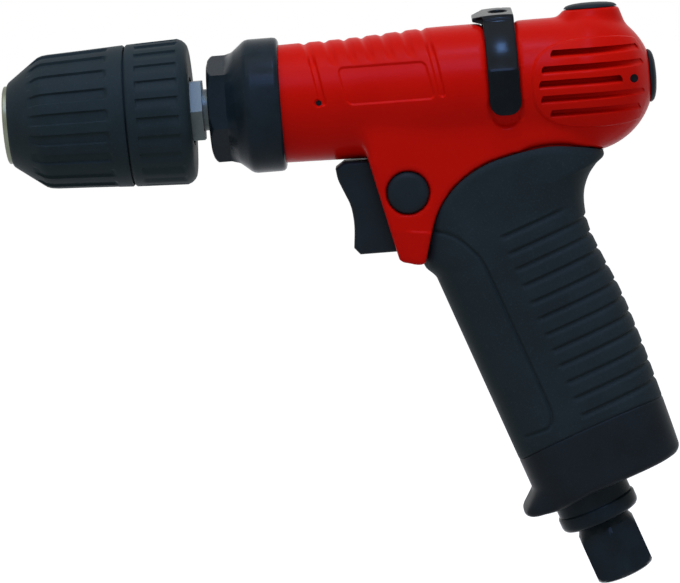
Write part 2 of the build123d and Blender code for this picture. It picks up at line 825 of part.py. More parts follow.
with BuildPart() as housing:
    revolve(section([
        (spigot_x, 0),
        (spigot_x, spigot_radius),
        (housing_x, spigot_radius),
        (housing_x, barrel_front_radius),
        (housing_x + barrel_waist, barrel_waist_radius),
        (housing_x + barrel_swell, barrel_radius),
        (dome_x, barrel_radius),
        (dome_x, 0),
    ]), axis=Axis.X)
    with Locations((dome_x, 0, 0)):
        Sphere(dome_radius)
    add(grill_pads.part)
    with BuildSketch(Plane.YZ.offset(housing_back_x)):
        Circle(dome_radius)
    extrude(amount=dome_radius, mode=Mode.SUBTRACT)
    with BuildSketch(Plane.XY.offset(boss_height)):
        with Locations((boss_x, 0)):
            Circle(boss_radius)
    with BuildSketch(Plane.XY.offset(boss_height / 2)):
        with Locations((boss_x, 0)):
            Circle(boss_foot_radius)
    loft()
    add(column.part)
    add(core)
    split(bisect_by=handle_plane.offset(core_bottom), keep=Keep.BOTTOM)
    revolve(section([
        (spigot_x, 0),
        (spigot_x, bore_radius),
        (chamber_x, bore_radius),
        (chamber_x, chamber_radius),
        (chamber_back_x, chamber_radius),
        (chamber_back_x, plug_bore),
        (housing_back_x, plug_bore),
        (housing_back_x, 0),
    ]), axis=Axis.X, mode=Mode.SUBTRACT)
    with BuildSketch(Plane.XY.offset(boss_height)):
        with Locations((boss_x, 0)):
            Circle(plug_bore)
    extrude(amount=-boss_height, mode=Mode.SUBTRACT)
    with BuildSketch(Plane.XY.offset(boss_height)):
        with Locations((boss_x, 0)):
            Circle(boss_radius)
    extrude(amount=plug_head_height, mode=Mode.SUBTRACT)
    with BuildSketch(Plane.XZ):
        with BuildLine():
            Polyline(
                (column_front(trigger_bottom) - trigger_reach_bottom, trigger_bottom - travel_gap),
                (column_front(trigger_bottom) + pocket_back, trigger_bottom - travel_gap),
                (column_front(trigger_top) + pocket_back, trigger_top + travel_gap),
                (column_front(trigger_top) - trigger_reach_bottom, trigger_top + travel_gap),
                close=True,
            )
        make_face()
    extrude(amount=trigger_half_width + travel_gap, both=True, mode=Mode.SUBTRACT)
    with BuildSketch(Plane.YZ.offset(column_front(stem_z))):
        with Locations((0, stem_z)):
            Circle(valve_bore)
    extrude(amount=valve_end_x - column_front(stem_z), mode=Mode.SUBTRACT)
    with BuildSketch(Plane.XY.offset(stem_z)):
        with Locations((gallery_x, 0)):
            Circle(gallery_radius)
    extrude(amount=stem_drop - bore_radius + thin_web, mode=Mode.SUBTRACT)
    with BuildSketch(inlet_plane.offset(stem_drop)):
        Circle(inlet_bore)
    extrude(amount=core_bottom - stem_drop, mode=Mode.SUBTRACT)
    with BuildSketch(inlet_plane.offset(core_bottom - inlet_shank_length + seat_gap)):
        Circle(inlet_shank_radius + seat_gap)
    extrude(amount=inlet_shank_length, mode=Mode.SUBTRACT)
    with BuildSketch(handle_plane):
        with Locations((exhaust_offset, 0)):
            Circle(exhaust_radius)
    extrude(amount=core_bottom, mode=Mode.SUBTRACT)
    with BuildSketch(Plane.XZ):
        with Locations((button_x, -button_drop)):
            Circle(rod_radius + running_gap)
    extrude(amount=column_half_width, both=True, mode=Mode.SUBTRACT)
    for side in (-1, 1):
        with BuildSketch(Plane.XZ.offset(-side * button_recess)):
            with Locations((button_x, -button_drop)):
                Circle(button_radius + travel_gap)
        extrude(amount=-side * column_half_width, mode=Mode.SUBTRACT)
        with BuildSketch(Plane.XZ.offset(-side * rod_seal_offset + rod_seal_room / 2)):
            with Locations((button_x, -button_drop)):
                Circle(rod_seal_radius + seat_gap)
        extrude(amount=-rod_seal_room, mode=Mode.SUBTRACT)
        with BuildSketch(Plane.XZ.offset(-side * (motor_radius - pin_bite))):
            with Locations((ring_back_x, 0)):
                Circle(pin_radius + seat_gap)
        extrude(amount=-side * motor_radius, mode=Mode.SUBTRACT)
        with BuildSketch(Plane.XZ.offset(-side * plug_thread_radius)):
            with Locations((lock_x, 0)):
                Circle(pin_radius + seat_gap)
        extrude(amount=-side * dome_radius, mode=Mode.SUBTRACT)
    with BuildSketch(Plane.YZ.offset(button_x)):
        with Locations((0, -button_drop)):
            Circle(stop_pin_radius + seat_gap)
    extrude(amount=stop_pin_x + stop_pin_length + seat_gap - button_x, mode=Mode.SUBTRACT)
    with BuildSketch(Plane.YZ.offset(strap_x)):
        with Locations((0, -channel_drop)):
            Rectangle(4 * barrel_radius, strap_top + channel_drop, align=(Align.CENTER, Align.MIN))
        Circle(channel_floor, mode=Mode.SUBTRACT)
        with Locations((0, -channel_drop)):
            Rectangle(2 * channel_floor, channel_drop, align=(Align.CENTER, Align.MIN), mode=Mode.SUBTRACT)
    extrude(amount=channel_width / 2, both=True, mode=Mode.SUBTRACT)
    add(grill_grooves.part, mode=Mode.SUBTRACT)
finish(housing, "housing")

# Plugs in the top boss and the back, screwed in and domed
with BuildPart() as top_plug:
    with BuildSketch(Plane.XZ):
        with BuildLine():
            crown = (boss_x, boss_height + plug_head_height)
            rim = (boss_x + plug_head_radius, boss_height + plug_head_height / 3)
            waist = (boss_x + plug_head_radius * 0.6, boss_height + plug_head_height * 0.83)
            ThreePointArc(crown, waist, rim)
            Polyline(
                rim,
                (boss_x + plug_head_radius, boss_height),
                (boss_x + plug_thread_radius, boss_height),
                (boss_x + plug_thread_radius, boss_height - plug_thread_length),
                (boss_x, boss_height - plug_thread_length),
                crown,
            )
        make_face()
    revolve(axis=Axis((boss_x, 0, 0), (0, 0, 1)))
finish(top_plug, "top_plug")

with BuildPart() as rear_plug:
    with BuildSketch(Plane.XZ):
        with BuildLine():
            crown = (housing_back_x + plug_head_height, 0)
            rim = (housing_back_x + plug_head_height / 3, plug_head_radius)
            waist = (housing_back_x + plug_head_height * 0.83, plug_head_radius * 0.6)
            ThreePointArc(crown, waist, rim)
            Polyline(
                rim,
                (housing_back_x, plug_head_radius),
                (housing_back_x, plug_thread_radius),
                (housing_back_x - plug_thread_length, plug_thread_radius),
                (housing_back_x - plug_thread_length, 0),
                crown,
            )
        make_face()
    revolve(axis=Axis.X)
finish(rear_plug, "rear_plug")

# Hanger strap: two legs down the barrel's sides and a plate with an eye over its top
leg_in = channel_floor + running_gap
leg_out = leg_in + strap_thickness
plate_under = strap_top - strap_plate
with BuildPart() as hanger_strap:
    with BuildSketch(Plane.YZ.offset(strap_x)):
        with BuildLine():
            Polyline(
                (leg_in, -strap_drop),
                (leg_out, -strap_drop),
                (leg_out, strap_bend),
                (strap_plate_half_width, strap_top),
                (-strap_plate_half_width, strap_top),
                (-leg_out, strap_bend),
                (-leg_out, -strap_drop),
                (-leg_in, -strap_drop),
                (-leg_in, strap_bend),
                (-strap_plate_half_width + strap_thickness, plate_under),
                (strap_plate_half_width - strap_thickness, plate_under),
                (leg_in, strap_bend),
                close=True,
            )
        make_face()
    extrude(amount=strap_width / 2, both=True)
    with BuildSketch(Plane.XZ):
        Polygon(
            (strap_x - strap_tongue, strap_top - 1),
            (strap_x - strap_width / 2, strap_top),
            (strap_x, strap_top),
            (strap_x, plate_under),
            (strap_x - strap_width / 2, plate_under),
            (strap_x - strap_tongue, plate_under - 0.6),
            align=None,
        )
    extrude(amount=strap_plate_half_width - strap_thickness, both=True)
    with BuildSketch(Plane.XY.offset(plate_under)):
        with Locations((strap_x, 0)):
            Circle(eye_radius)
    extrude(amount=strap_plate, mode=Mode.SUBTRACT)
finish(hanger_strap, "hanger_strap")

# Grip sleeve over the handle core, with a groove round its front panel and rib grooves behind that
full_handle = handle_form(0)
hollow = handle_form(grip_wall)
grip_cut = over_grip(grip_width)
grip_reach = max(back for depth, back in grip_backs)
handle_side = Plane(origin=handle_plane.origin, x_dir=handle_plane.x_dir, z_dir=(0, -1, 0))
with BuildPart() as rib_grooves:
    for index in range(rib_count):
        with BuildSketch(handle_plane.offset(rib_top + index * rib_pitch - rib_width / 2)):
            with Locations(((rib_front - grip_front + grip_reach) / 2, 0)):
                Rectangle(grip_reach + grip_front - rib_front, 2 * grip_width)
        extrude(amount=rib_width)
    add(handle_form(rib_depth), mode=Mode.SUBTRACT)

with BuildPart() as front_panel:
    with BuildSketch(handle_side):
        Polygon(
            *[(behind - grip_front, -depth) for behind, depth in panel_line],
            (panel_line[-1][0] - grip_front, -panel_bottom),
            (-2 * grip_front, -panel_bottom),
            (-2 * grip_front, -panel_line[0][1]),
            align=None,
        )
        offset(amount=-panel_groove, kind=Kind.INTERSECTION, mode=Mode.SUBTRACT)
    extrude(amount=grip_width, both=True)
    add(handle_form(panel_depth), mode=Mode.SUBTRACT)

with BuildPart() as grip_sleeve:
    add(full_handle)
    add(hollow, mode=Mode.SUBTRACT)
    add(rib_grooves.part, mode=Mode.SUBTRACT)
    add(front_panel.part, mode=Mode.SUBTRACT)
    add(grip_cut, mode=Mode.SUBTRACT)
    with Locations((dome_x, 0, 0)):
        Sphere(dome_radius + seat_gap, mode=Mode.SUBTRACT)
    with BuildSketch(Plane.YZ.offset(housing_x)):
        Circle(barrel_radius + seat_gap)
    extrude(amount=dome_setback, mode=Mode.SUBTRACT)
    split(bisect_by=handle_plane.offset(grip_length - seam_gap), keep=Keep.BOTTOM)
finish(grip_sleeve, "grip_sleeve")

# Cap at the handle's end with its front lobe, holding the muffler
with BuildPart() as cap_hollow:
    add(hollow)
    split(bisect_by=handle_plane.offset(cap_bottom - cap_floor), keep=Keep.BOTTOM)

with BuildPart() as handle_end_cap:
    add(full_handle)
    split(bisect_by=handle_plane.offset(grip_length), keep=Keep.TOP)
    bottom = handle_end_cap.faces().sort_by(Axis((0, 0, 0), handle_plane.z_dir))[-1]
    fillet(bottom.edges(), radius=cap_edge)
    with BuildSketch(handle_side):
        with Locations((-grip_front - lobe_reach + lobe_radius, -cap_bottom + lobe_radius + 1)):
            Circle(lobe_radius)
        Polygon(
            (-grip_front - lobe_reach + lobe_radius / 2, -cap_bottom + 2 * lobe_radius),
            (-grip_front + 1, -cap_bottom + 4 * lobe_radius),
            (-grip_front + lobe_reach, -cap_bottom + 2 * lobe_radius),
            (-grip_front + lobe_reach, -cap_bottom + 1),
            (-grip_front - lobe_reach + lobe_radius, -cap_bottom + 1),
            align=None,
        )
    extrude(amount=lobe_half_width, both=True)
    add(cap_hollow.part, mode=Mode.SUBTRACT)
    with BuildSketch(inlet_plane.offset(cap_bottom - 2 * cap_floor)):
        Circle(inlet_shank_radius + 2 * travel_gap)
    extrude(amount=3 * cap_floor, mode=Mode.SUBTRACT)
finish(handle_end_cap, "handle_end_cap")

with BuildPart() as muffler:
    add(core)
    split(bisect_by=handle_plane.offset(core_bottom + seat_gap), keep=Keep.TOP)
    split(bisect_by=handle_plane.offset(core_bottom + seat_gap + muffler_thickness), keep=Keep.BOTTOM)
    with BuildSketch(inlet_plane.offset(core_bottom)):
        Circle(inlet_shank_radius + seat_gap)
    extrude(amount=2 * muffler_thickness, mode=Mode.SUBTRACT)
finish(muffler, "muffler")

# Air inlet: collar, threaded bushing and screen
with BuildPart() as inlet_collar:
    with BuildSketch(inlet_plane.offset(cap_bottom)):
        Circle(neck_radius)
    extrude(amount=neck_length)
    with BuildSketch(inlet_plane.offset(collar_top)):
        Circle(collar_radius)
    extrude(amount=collar_length)
    rims = inlet_collar.edges().filter_by(GeomType.CIRCLE).sort_by(Axis((0, 0, 0), inlet_plane.z_dir))
    fillet(rims[-1], radius=collar_edge)
    with BuildSketch(inlet_plane.offset(cap_bottom)):
        Circle(inlet_shank_radius + seat_gap)
    extrude(amount=neck_length + collar_length, mode=Mode.SUBTRACT)
finish(inlet_collar, "inlet_collar")

shank_top = core_bottom - inlet_shank_length + 2 * seat_gap
with BuildPart() as inlet_bushing:
    with BuildSketch(inlet_plane.offset(shank_top)):
        Circle(inlet_shank_radius)
    extrude(amount=collar_bottom - shank_top)
    with BuildSketch(inlet_plane.offset(collar_bottom)):
        RegularPolygon(inlet_hex / 2, 6, major_radius=False, rotation=inlet_hex_turn)
    extrude(amount=inlet_hex_length)
    with BuildSketch(inlet_plane.offset(shank_top)):
        Circle(inlet_bore)
    extrude(amount=inlet_mouth - shank_top, mode=Mode.SUBTRACT)
    with BuildSketch(inlet_plane.offset(inlet_mouth)):
        Circle(inlet_thread_radius)
    extrude(amount=-inlet_thread_length, mode=Mode.SUBTRACT)
finish(inlet_bushing, "inlet_bushing")

with BuildPart() as inlet_screen:
    with BuildSketch(inlet_plane.offset(shank_top)):
        Circle(inlet_bore - seat_gap)
    extrude(amount=screen_length)
    with BuildSketch(inlet_plane.offset(shank_top + screen_wall)):
        Circle(inlet_bore - seat_gap - screen_wall)
    extrude(amount=screen_length, mode=Mode.SUBTRACT)
finish(inlet_screen, "inlet_screen")

# Trigger on its stem, with the throttle valve behind it
heel_x = column_front(trigger_bottom) + trigger_overlap
crown_x = column_front(trigger_top) + trigger_overlap
finger_top = (column_front(trigger_top) - trigger_reach_top, trigger_top - trigger_edge)
finger_bottom = (column_front(trigger_bottom) - trigger_reach_bottom, trigger_bottom + trigger_edge)
finger_middle = (
    (finger_top[0] + finger_bottom[0]) / 2 + trigger_hollow,
    (finger_top[1] + finger_bottom[1]) / 2,
)
stem_x = column_front(stem_z) + trigger_overlap - stem_socket
with BuildPart() as trigger:
    with BuildSketch(Plane.XZ):
        with BuildLine():
            ThreePointArc(finger_top, finger_middle, finger_bottom)
            Polyline(
                finger_bottom,
                (finger_bottom[0] + trigger_edge, trigger_bottom),
                (heel_x, trigger_bottom),
                (crown_x, trigger_top),
                (finger_top[0] + 2 * trigger_edge, trigger_top),
                finger_top,
            )
        make_face()
    extrude(amount=trigger_half_width, both=True)
    with BuildSketch(Plane.YZ.offset(stem_x - seat_gap)):
        with Locations((0, stem_z)):
            Circle(stem_radius + seat_gap)
    extrude(amount=stem_socket + trigger_overlap, mode=Mode.SUBTRACT)
finish(trigger, "trigger")

with BuildPart() as throttle_valve:
    with BuildSketch(Plane.YZ.offset(stem_x)):
        with Locations((0, stem_z)):
            Circle(stem_radius)
    extrude(amount=spring_x - stem_x)
    with BuildSketch(Plane.YZ.offset(poppet_x + running_gap)):
        with Locations((0, stem_z)):
            Circle(poppet_radius)
    extrude(amount=poppet_width - running_gap)
finish(throttle_valve, "throttle_valve")

with BuildPart() as stem_bush:
    with BuildSketch(Plane.YZ.offset(bush_x + seat_gap)):
        with Locations((0, stem_z)):
            Circle(valve_bore - seat_gap)
            Circle(stem_radius + running_gap, mode=Mode.SUBTRACT)
    extrude(amount=bush_length)
finish(stem_bush, "stem_bush")

with BuildPart() as valve_seat:
    with BuildSketch(Plane.YZ.offset(seat_x)):
        with Locations((0, stem_z)):
            Circle(valve_bore - seat_gap)
            Circle(seat_bore, mode=Mode.SUBTRACT)
    extrude(amount=seat_width)
finish(valve_seat, "valve_seat")

spring_rise = spring_length - 2 * spring_wire - 2 * running_gap
with BuildPart() as valve_spring:
    with BuildLine():
        coil = Helix(
            pitch=spring_rise / spring_turns,
            height=spring_rise,
            radius=spring_radius,
            center=(spring_x + spring_wire + running_gap, 0, stem_z),
            direction=(1, 0, 0),
        )
    with BuildSketch(Plane(origin=coil @ 0, z_dir=coil % 0)):
        Circle(spring_wire)
    sweep(is_frenet=True)
finish(valve_spring, "valve_spring")

# Reverse rod through the column with a button on each end, its seals and its stop pin
left_y = -column_half_width - button_stand_out
right_y = column_half_width + button_stand_out + reverse_throw
rod_start = left_y + button_thickness - button_dome
rod_end = right_y - button_thickness + button_dome
groove_start = -stop_pin_radius - travel_gap
groove_end = stop_pin_radius + travel_gap + reverse_throw
with BuildPart() as reverse_rod:
    with BuildSketch(Plane.XZ.offset(-rod_start)):
        with Locations((button_x, -button_drop)):
            Circle(rod_radius)
    extrude(amount=rod_start - rod_end)
    with BuildSketch(Plane.XZ.offset(-groove_start)):
        with Locations((button_x, -button_drop)):
            Circle(rod_radius)
            Circle(rod_groove_radius, mode=Mode.SUBTRACT)
    extrude(amount=groove_start - groove_end, mode=Mode.SUBTRACT)
finish(reverse_rod, "reverse_rod")

for name, face_y, side in (("reverse_button_left", left_y, -1), ("reverse_button_right", right_y, 1)):
    with BuildPart() as button:
        with BuildSketch(Plane.XZ.offset(-face_y + side * button_thickness)):
            with Locations((button_x, -button_drop)):
                Circle(button_radius)
        extrude(amount=-side * button_thickness)
        rim = button.faces().sort_by(Axis.Y)[0 if side < 0 else -1].edges()
        fillet(rim, radius=button_dome)
        with BuildSketch(Plane.XZ.offset(-face_y + side * button_thickness)):
            with Locations((button_x, -button_drop)):
                Circle(rod_radius + seat_gap)
        extrude(amount=-side * button_dome, mode=Mode.SUBTRACT)
    finish(button, name)

with BuildPart() as stop_pin:
    with BuildSketch(Plane.YZ.offset(stop_pin_x)):
        with Locations((0, -button_drop)):
            Circle(stop_pin_radius)
    extrude(amount=stop_pin_length)
finish(stop_pin, "reverse_stop_pin")

with BuildPart() as rod_seals:
    for side in (-1, 1):
        with BuildSketch(Plane.XZ.offset(-side * rod_seal_offset + rod_seal_width / 2)):
            with Locations((button_x, -button_drop)):
                Circle(rod_seal_radius)
                Circle(rod_radius + running_gap, mode=Mode.SUBTRACT)
        extrude(amount=-rod_seal_width)
finish(rod_seals, "reverse_rod_seals")

# Pins that hold the ring gear, and screws that lock the rear plug
with BuildPart() as ring_gear_pins:
    for side in (-1, 1):
        with BuildSketch(Plane.XZ.offset(-side * (motor_radius - pin_bite + seat_gap))):
            with Locations((ring_back_x, 0)):
                Circle(pin_radius)
        extrude(amount=-side * (barrel_front_radius - pin_recess - motor_radius + pin_bite))
finish(ring_gear_pins, "ring_gear_pins")

lock_radius = (dome_radius ** 2 - (lock_x - dome_x) ** 2) ** 0.5
with BuildPart() as plug_lock_screws:
    for side in (-1, 1):
        with BuildSketch(Plane.XZ.offset(-side * (plug_thread_radius + seat_gap))):
            with Locations((lock_x, 0)):
                Circle(pin_radius)
        extrude(amount=-side * (lock_radius - pin_recess - plug_thread_radius))
finish(plug_lock_screws, "plug_lock_screws")
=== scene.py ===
import bpy
import bmesh
import json
from math import atan2, cos, degrees, hypot, pi, radians, sin, sqrt, tan
from mathutils import Matrix, Vector
from mathutils.kdtree import KDTree

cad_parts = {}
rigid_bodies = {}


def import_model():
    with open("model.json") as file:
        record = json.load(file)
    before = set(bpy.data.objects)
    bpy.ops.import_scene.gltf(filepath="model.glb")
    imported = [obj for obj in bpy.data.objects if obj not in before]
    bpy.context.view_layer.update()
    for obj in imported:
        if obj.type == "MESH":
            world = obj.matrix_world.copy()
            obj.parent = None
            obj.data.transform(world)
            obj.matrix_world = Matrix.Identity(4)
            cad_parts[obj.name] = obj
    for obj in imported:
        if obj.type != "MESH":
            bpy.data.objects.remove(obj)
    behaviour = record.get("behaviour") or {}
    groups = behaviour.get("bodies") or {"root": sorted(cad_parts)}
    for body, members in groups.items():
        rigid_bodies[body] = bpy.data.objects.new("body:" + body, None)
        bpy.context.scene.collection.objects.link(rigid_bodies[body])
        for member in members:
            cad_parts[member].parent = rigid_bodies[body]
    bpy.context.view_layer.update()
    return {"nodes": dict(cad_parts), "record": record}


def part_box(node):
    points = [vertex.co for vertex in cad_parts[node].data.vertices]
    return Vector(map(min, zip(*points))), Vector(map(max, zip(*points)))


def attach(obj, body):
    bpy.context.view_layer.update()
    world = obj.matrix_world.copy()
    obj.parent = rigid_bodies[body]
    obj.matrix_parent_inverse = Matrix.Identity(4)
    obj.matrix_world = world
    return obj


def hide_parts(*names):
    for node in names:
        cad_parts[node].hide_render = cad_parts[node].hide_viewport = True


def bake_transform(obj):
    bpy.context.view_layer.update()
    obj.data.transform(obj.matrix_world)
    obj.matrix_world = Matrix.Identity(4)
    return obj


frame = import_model()
scene = bpy.context.scene
scene.view_settings.view_transform = "Standard"
print("air drill:", len(frame["nodes"]), "CAD nodes loaded")


# Small helpers. Pieces are modelled in millimetres and scaled to metres when they are placed.
def smoothStep(low, high, value):
    t = min(max((value - low) / (high - low), 0.0), 1.0)
    return t * t * (3 - 2 * t)


def signedPower(value, power):
    return abs(value) ** power * (1 if value > 0 else -1)


def alongLine(points, at):  # broken line through (position, value) points
    if at <= points[0][0]:
        return points[0][1]
    for (x0, v0), (x1, v1) in zip(points, points[1:]):
        if at <= x1:
            return v0 + (v1 - v0) * (at - x0) / (x1 - x0)
    return points[-1][1]


def curveThrough(points, steps):  # smooth line through a few given points
    p = [Vector(q) for q in points]
    p = [2 * p[0] - p[1]] + p + [2 * p[-1] - p[-2]]
    line = []
    for a, b, c, d in zip(p, p[1:], p[2:], p[3:]):
        for i in range(steps):
            t = i / steps
            line.append(0.5 * (2 * b + (c - a) * t + (2 * a - 5 * b + 4 * c - d) * t * t
                               + (3 * b - a - 3 * c + d) * t ** 3))
    return [tuple(q) for q in line + [p[-2]]]


def divided(points, gap):  # more points along a turned outline
    line = [points[0]]
    for a, b in zip(points, points[1:]):
        count = max(1, int((b[0] - a[0]) / gap))
        line += [tuple(p + (q - p) * i / count for p, q in zip(a, b)) for i in range(1, count + 1)]
    return line


def lineTree(points):  # finds how far a place is from a line
    tree = KDTree(len(points))
    for i, (a, b) in enumerate(points):
        tree.insert((a, 0, b), i)
    tree.balance()
    return tree


def turned(profile, steps):  # (x, r) outline spun round X
    bm = bmesh.new()
    rim = [bm.verts.new((x, 0, r)) for x, r in profile]
    for a, b in zip(rim, rim[1:]):
        bm.edges.new((a, b))
    if profile[0][1] > 0:
        bm.edges.new((rim[-1], rim[0]))
    bmesh.ops.spin(bm, geom=bm.verts[:] + bm.edges[:], axis=(1, 0, 0), cent=(0, 0, 0),
                   angle=2 * pi, steps=steps, use_merge=True)
    bmesh.ops.remove_doubles(bm, verts=bm.verts, dist=0.001)
    bmesh.ops.recalc_face_normals(bm, faces=bm.faces)
    return bm


def pin(x0, x1, radius, steps):  # plain round tool along X
    return turned([(x0, 0), (x0, radius), (x1, radius), (x1, 0)], steps)


def prism(outline, nearY, farY):  # (x, z) outline drawn out along Y
    bm = bmesh.new()
    face = bm.faces.new([bm.verts.new((x, nearY, z)) for x, z in outline])
    drawn = bmesh.ops.extrude_face_region(bm, geom=[face])["geom"]
    far = [v for v in drawn if isinstance(v, bmesh.types.BMVert)]
    bmesh.ops.translate(bm, vec=(0, farY - nearY, 0), verts=far)
    bmesh.ops.recalc_face_normals(bm, faces=bm.faces)
    return bm


def standing(x, z=0.0):  # turns a shape's X axis up
    return Matrix.Translation((x, 0, z)) @ Matrix.Rotation(-pi / 2, 4, "Y")


def sideways(x, z=0.0):  # turns a shape's X axis to Y
    return Matrix.Translation((x, 0, z)) @ Matrix.Rotation(pi / 2, 4, "Z")


def placed(bm, place):
    bm.transform(place)
    return bm


def rod(at, radius, nearY, farY):  # round tool along Y at (x, z)
    return placed(pin(nearY, farY, radius, 40), sideways(*at))


def copyOf(node):  # a CAD node's own mesh
    bm = bmesh.new()
    bm.from_mesh(bpy.data.objects[node].data)
    return placed(bm, Matrix.Scale(1000, 4))


def joined(bm, *others):
    for other in others:
        mesh = bpy.data.meshes.new("joined")
        other.to_mesh(mesh)
        other.free()
        bm.from_mesh(mesh)
        bpy.data.meshes.remove(mesh)
    return bm


def onBench(bm):  # throwaway object that carries modifiers
    mesh = bpy.data.meshes.new("bench")
    bm.to_mesh(mesh)
    bm.free()
    helper = bpy.data.objects.new("bench", mesh)
    scene.collection.objects.link(helper)
    return helper


def worked(bm, tools=(), way="DIFFERENCE", voxel=0.0):  # booleans, then a voxel remesh
    work = onBench(bm)
    helpers = [onBench(tool) for tool in tools]
    for helper in helpers:
        cutter = work.modifiers.new("cut", "BOOLEAN")
        cutter.operation = way
        cutter.solver = "MANIFOLD"
        cutter.object = helper
    if voxel:
        skin = work.modifiers.new("skin", "REMESH")
        skin.mode = "VOXEL"
        skin.voxel_size = voxel
    graph = bpy.context.evaluated_depsgraph_get()
    result = bpy.data.meshes.new_from_object(work.evaluated_get(graph))
    done = bmesh.new()
    done.from_mesh(result)
    bpy.data.meshes.remove(result)
    for helper in [work] + helpers:
        mesh = helper.data
        bpy.data.objects.remove(helper)
        bpy.data.meshes.remove(mesh)
    return done


def closeHoles(bm):
    bmesh.ops.holes_fill(bm, edges=[e for e in bm.edges if e.is_boundary], sides=0)


def sliceOff(bm, at, away):  # drops what lies past a plane and closes the cut
    bmesh.ops.bisect_plane(bm, geom=bm.verts[:] + bm.edges[:] + bm.faces[:], plane_co=at, plane_no=away,
                           clear_outer=True)
    closeHoles(bm)


def roundEdges(bm, edges, offset, segments):
    bmesh.ops.bevel(bm, geom=edges, offset=offset, segments=segments, profile=0.5, affect="EDGES", material=-1)


def soften(bm, verts, rounds):
    for i in range(rounds):
        bmesh.ops.smooth_vert(bm, verts=verts, factor=0.5, use_axis_x=True, use_axis_y=True, use_axis_z=True)


def divideFaces(bm, chosen):  # twice as fine where the chosen forms are
    edges = {e for f in bm.faces if chosen(f.calc_center_median()) for e in f.edges}
    bmesh.ops.subdivide_edges(bm, edges=list(edges), cuts=1, use_grid_fill=True)


def drawIn(v, share):  # towards the X axis
    v.co.y *= share
    v.co.z *= share


def hexWall(v, half, turn):  # a hexagon's radius in the vertex's direction
    return half / cos((atan2(v.co.z, v.co.y) - radians(turn) + pi / 6) % (pi / 3) - pi / 6)


def placePiece(bm, name, body, slot, nodes, sharp=35, bend=None):
    bmesh.ops.remove_doubles(bm, verts=bm.verts, dist=0.0005)
    bmesh.ops.recalc_face_normals(bm, faces=bm.faces)
    bm.transform(Matrix.Scale(0.001, 4))
    mesh = bpy.data.meshes.new(name)
    bm.to_mesh(mesh)
    bm.free()
    mesh.shade_smooth()
    mesh.set_sharp_from_angle(angle=radians(sharp))
    mesh.materials.append(finishes[slot])
    piece = bpy.data.objects.new(name, mesh)
    scene.collection.objects.link(piece)
    if bend:  # a piece given a bend is left on no body, its placement baked in
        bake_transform(piece)
    else:
        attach(piece, body)
    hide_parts(*nodes)
    print(name, "on", body, sum(len(p.vertices) - 2 for p in mesh.polygons), "triangles")


# Materials
def toLinear(hexColour):
    channels = [int(hexColour[i:i + 2], 16) / 255 for i in (1, 3, 5)]
    return [c / 12.92 if c <= 0.04045 else ((c + 0.055) / 1.055) ** 2.4 for c in channels] + [1.0]


def addNode(tree, kind, inputs=None, **settings):
    node = tree.nodes.new(kind)
    for key, value in settings.items():
        setattr(node, key, value)
    for key, value in (inputs or {}).items():
        if isinstance(value, bpy.types.NodeSocket):
            tree.links.new(value, node.inputs[key])
        else:
            node.inputs[key].default_value = value
    return node


finishes = {}
cloudSpread = {"From Min": 0.3, "From Max": 0.7}  # the middle of a noise, where most of it lies
grainSpread = {"From Min": 0.55, "From Max": 0.8}  # only its peaks
bumpDepth = 0.0001  # a tenth of a millimetre


# cloud, grain and tool are pattern sizes in millimetres. Grain is drawn coarser than it is, so that it shows.
def surface(slot, name, look):
    material = bpy.data.materials.new(name)
    material.use_nodes = True
    tree = material.node_tree
    shader = tree.nodes["Principled BSDF"]
    place = addNode(tree, "ShaderNodeTexCoord").outputs["Object"]
    cloud = addNode(tree, "ShaderNodeTexNoise", {
        "Vector": place, "Scale": 1000 / look["cloud"], "Detail": 3.0}).outputs["Fac"]
    grain = addNode(tree, "ShaderNodeTexNoise", {
        "Vector": place, "Scale": 1000 / look["grain"], "Detail": 2.0}).outputs["Fac"]
    spread = addNode(tree, "ShaderNodeMapRange", {"Value": cloud, **cloudSpread})
    shade = addNode(tree, "ShaderNodeMix", {
        0: spread.outputs[0], 6: toLinear(look["colours"][0]), 7: toLinear(look["colours"][1])}, data_type="RGBA")
    amount = addNode(tree, "ShaderNodeMapRange", {"Value": grain, **grainSpread, "To Max": look["specks"]})
    speck = addNode(tree, "ShaderNodeMix", {
        0: amount.outputs[0], 6: shade.outputs[2], 7: toLinear(look["speck"])}, data_type="RGBA")
    rough = addNode(tree, "ShaderNodeMapRange", {
        "Value": cloud, **cloudSpread, "To Min": look["rough"][0], "To Max": look["rough"][1]})
    height = grain
    if "tool" in look:  # rings left by the cutting tool, by distance along and from the turning axis
        parts = addNode(tree, "ShaderNodeSeparateXYZ", {0: place})
        side = addNode(tree, "ShaderNodeCombineXYZ", {0: parts.outputs[1], 1: parts.outputs[2]})
        out = addNode(tree, "ShaderNodeVectorMath", {0: side.outputs[0]}, operation="LENGTH")
        track = addNode(tree, "ShaderNodeMath", {0: parts.outputs[0], 1: out.outputs["Value"]}, operation="ADD")
        rings = addNode(tree, "ShaderNodeTexNoise", {
            "W": track.outputs[0], "Scale": 1000 / look["tool"], "Detail": 2.0}, noise_dimensions="1D")
        height = addNode(tree, "ShaderNodeMath", {0: rings.outputs["Fac"], 1: grain}, operation="ADD").outputs[0]
    bump = addNode(tree, "ShaderNodeBump", {"Height": height, "Strength": look["bump"], "Distance": bumpDepth})
    tree.links.new(speck.outputs[2], shader.inputs["Base Color"])
    tree.links.new(rough.outputs[0], shader.inputs["Roughness"])
    tree.links.new(bump.outputs[0], shader.inputs["Normal"])
    shader.inputs["Metallic"].default_value = look.get("metal", 0.0)
    shader.inputs["Specular IOR Level"].default_value = look.get("specular", 0.5)
    shader.inputs["Sheen Weight"].default_value = look.get("sheen", 0.0)
    finishes[slot] = material


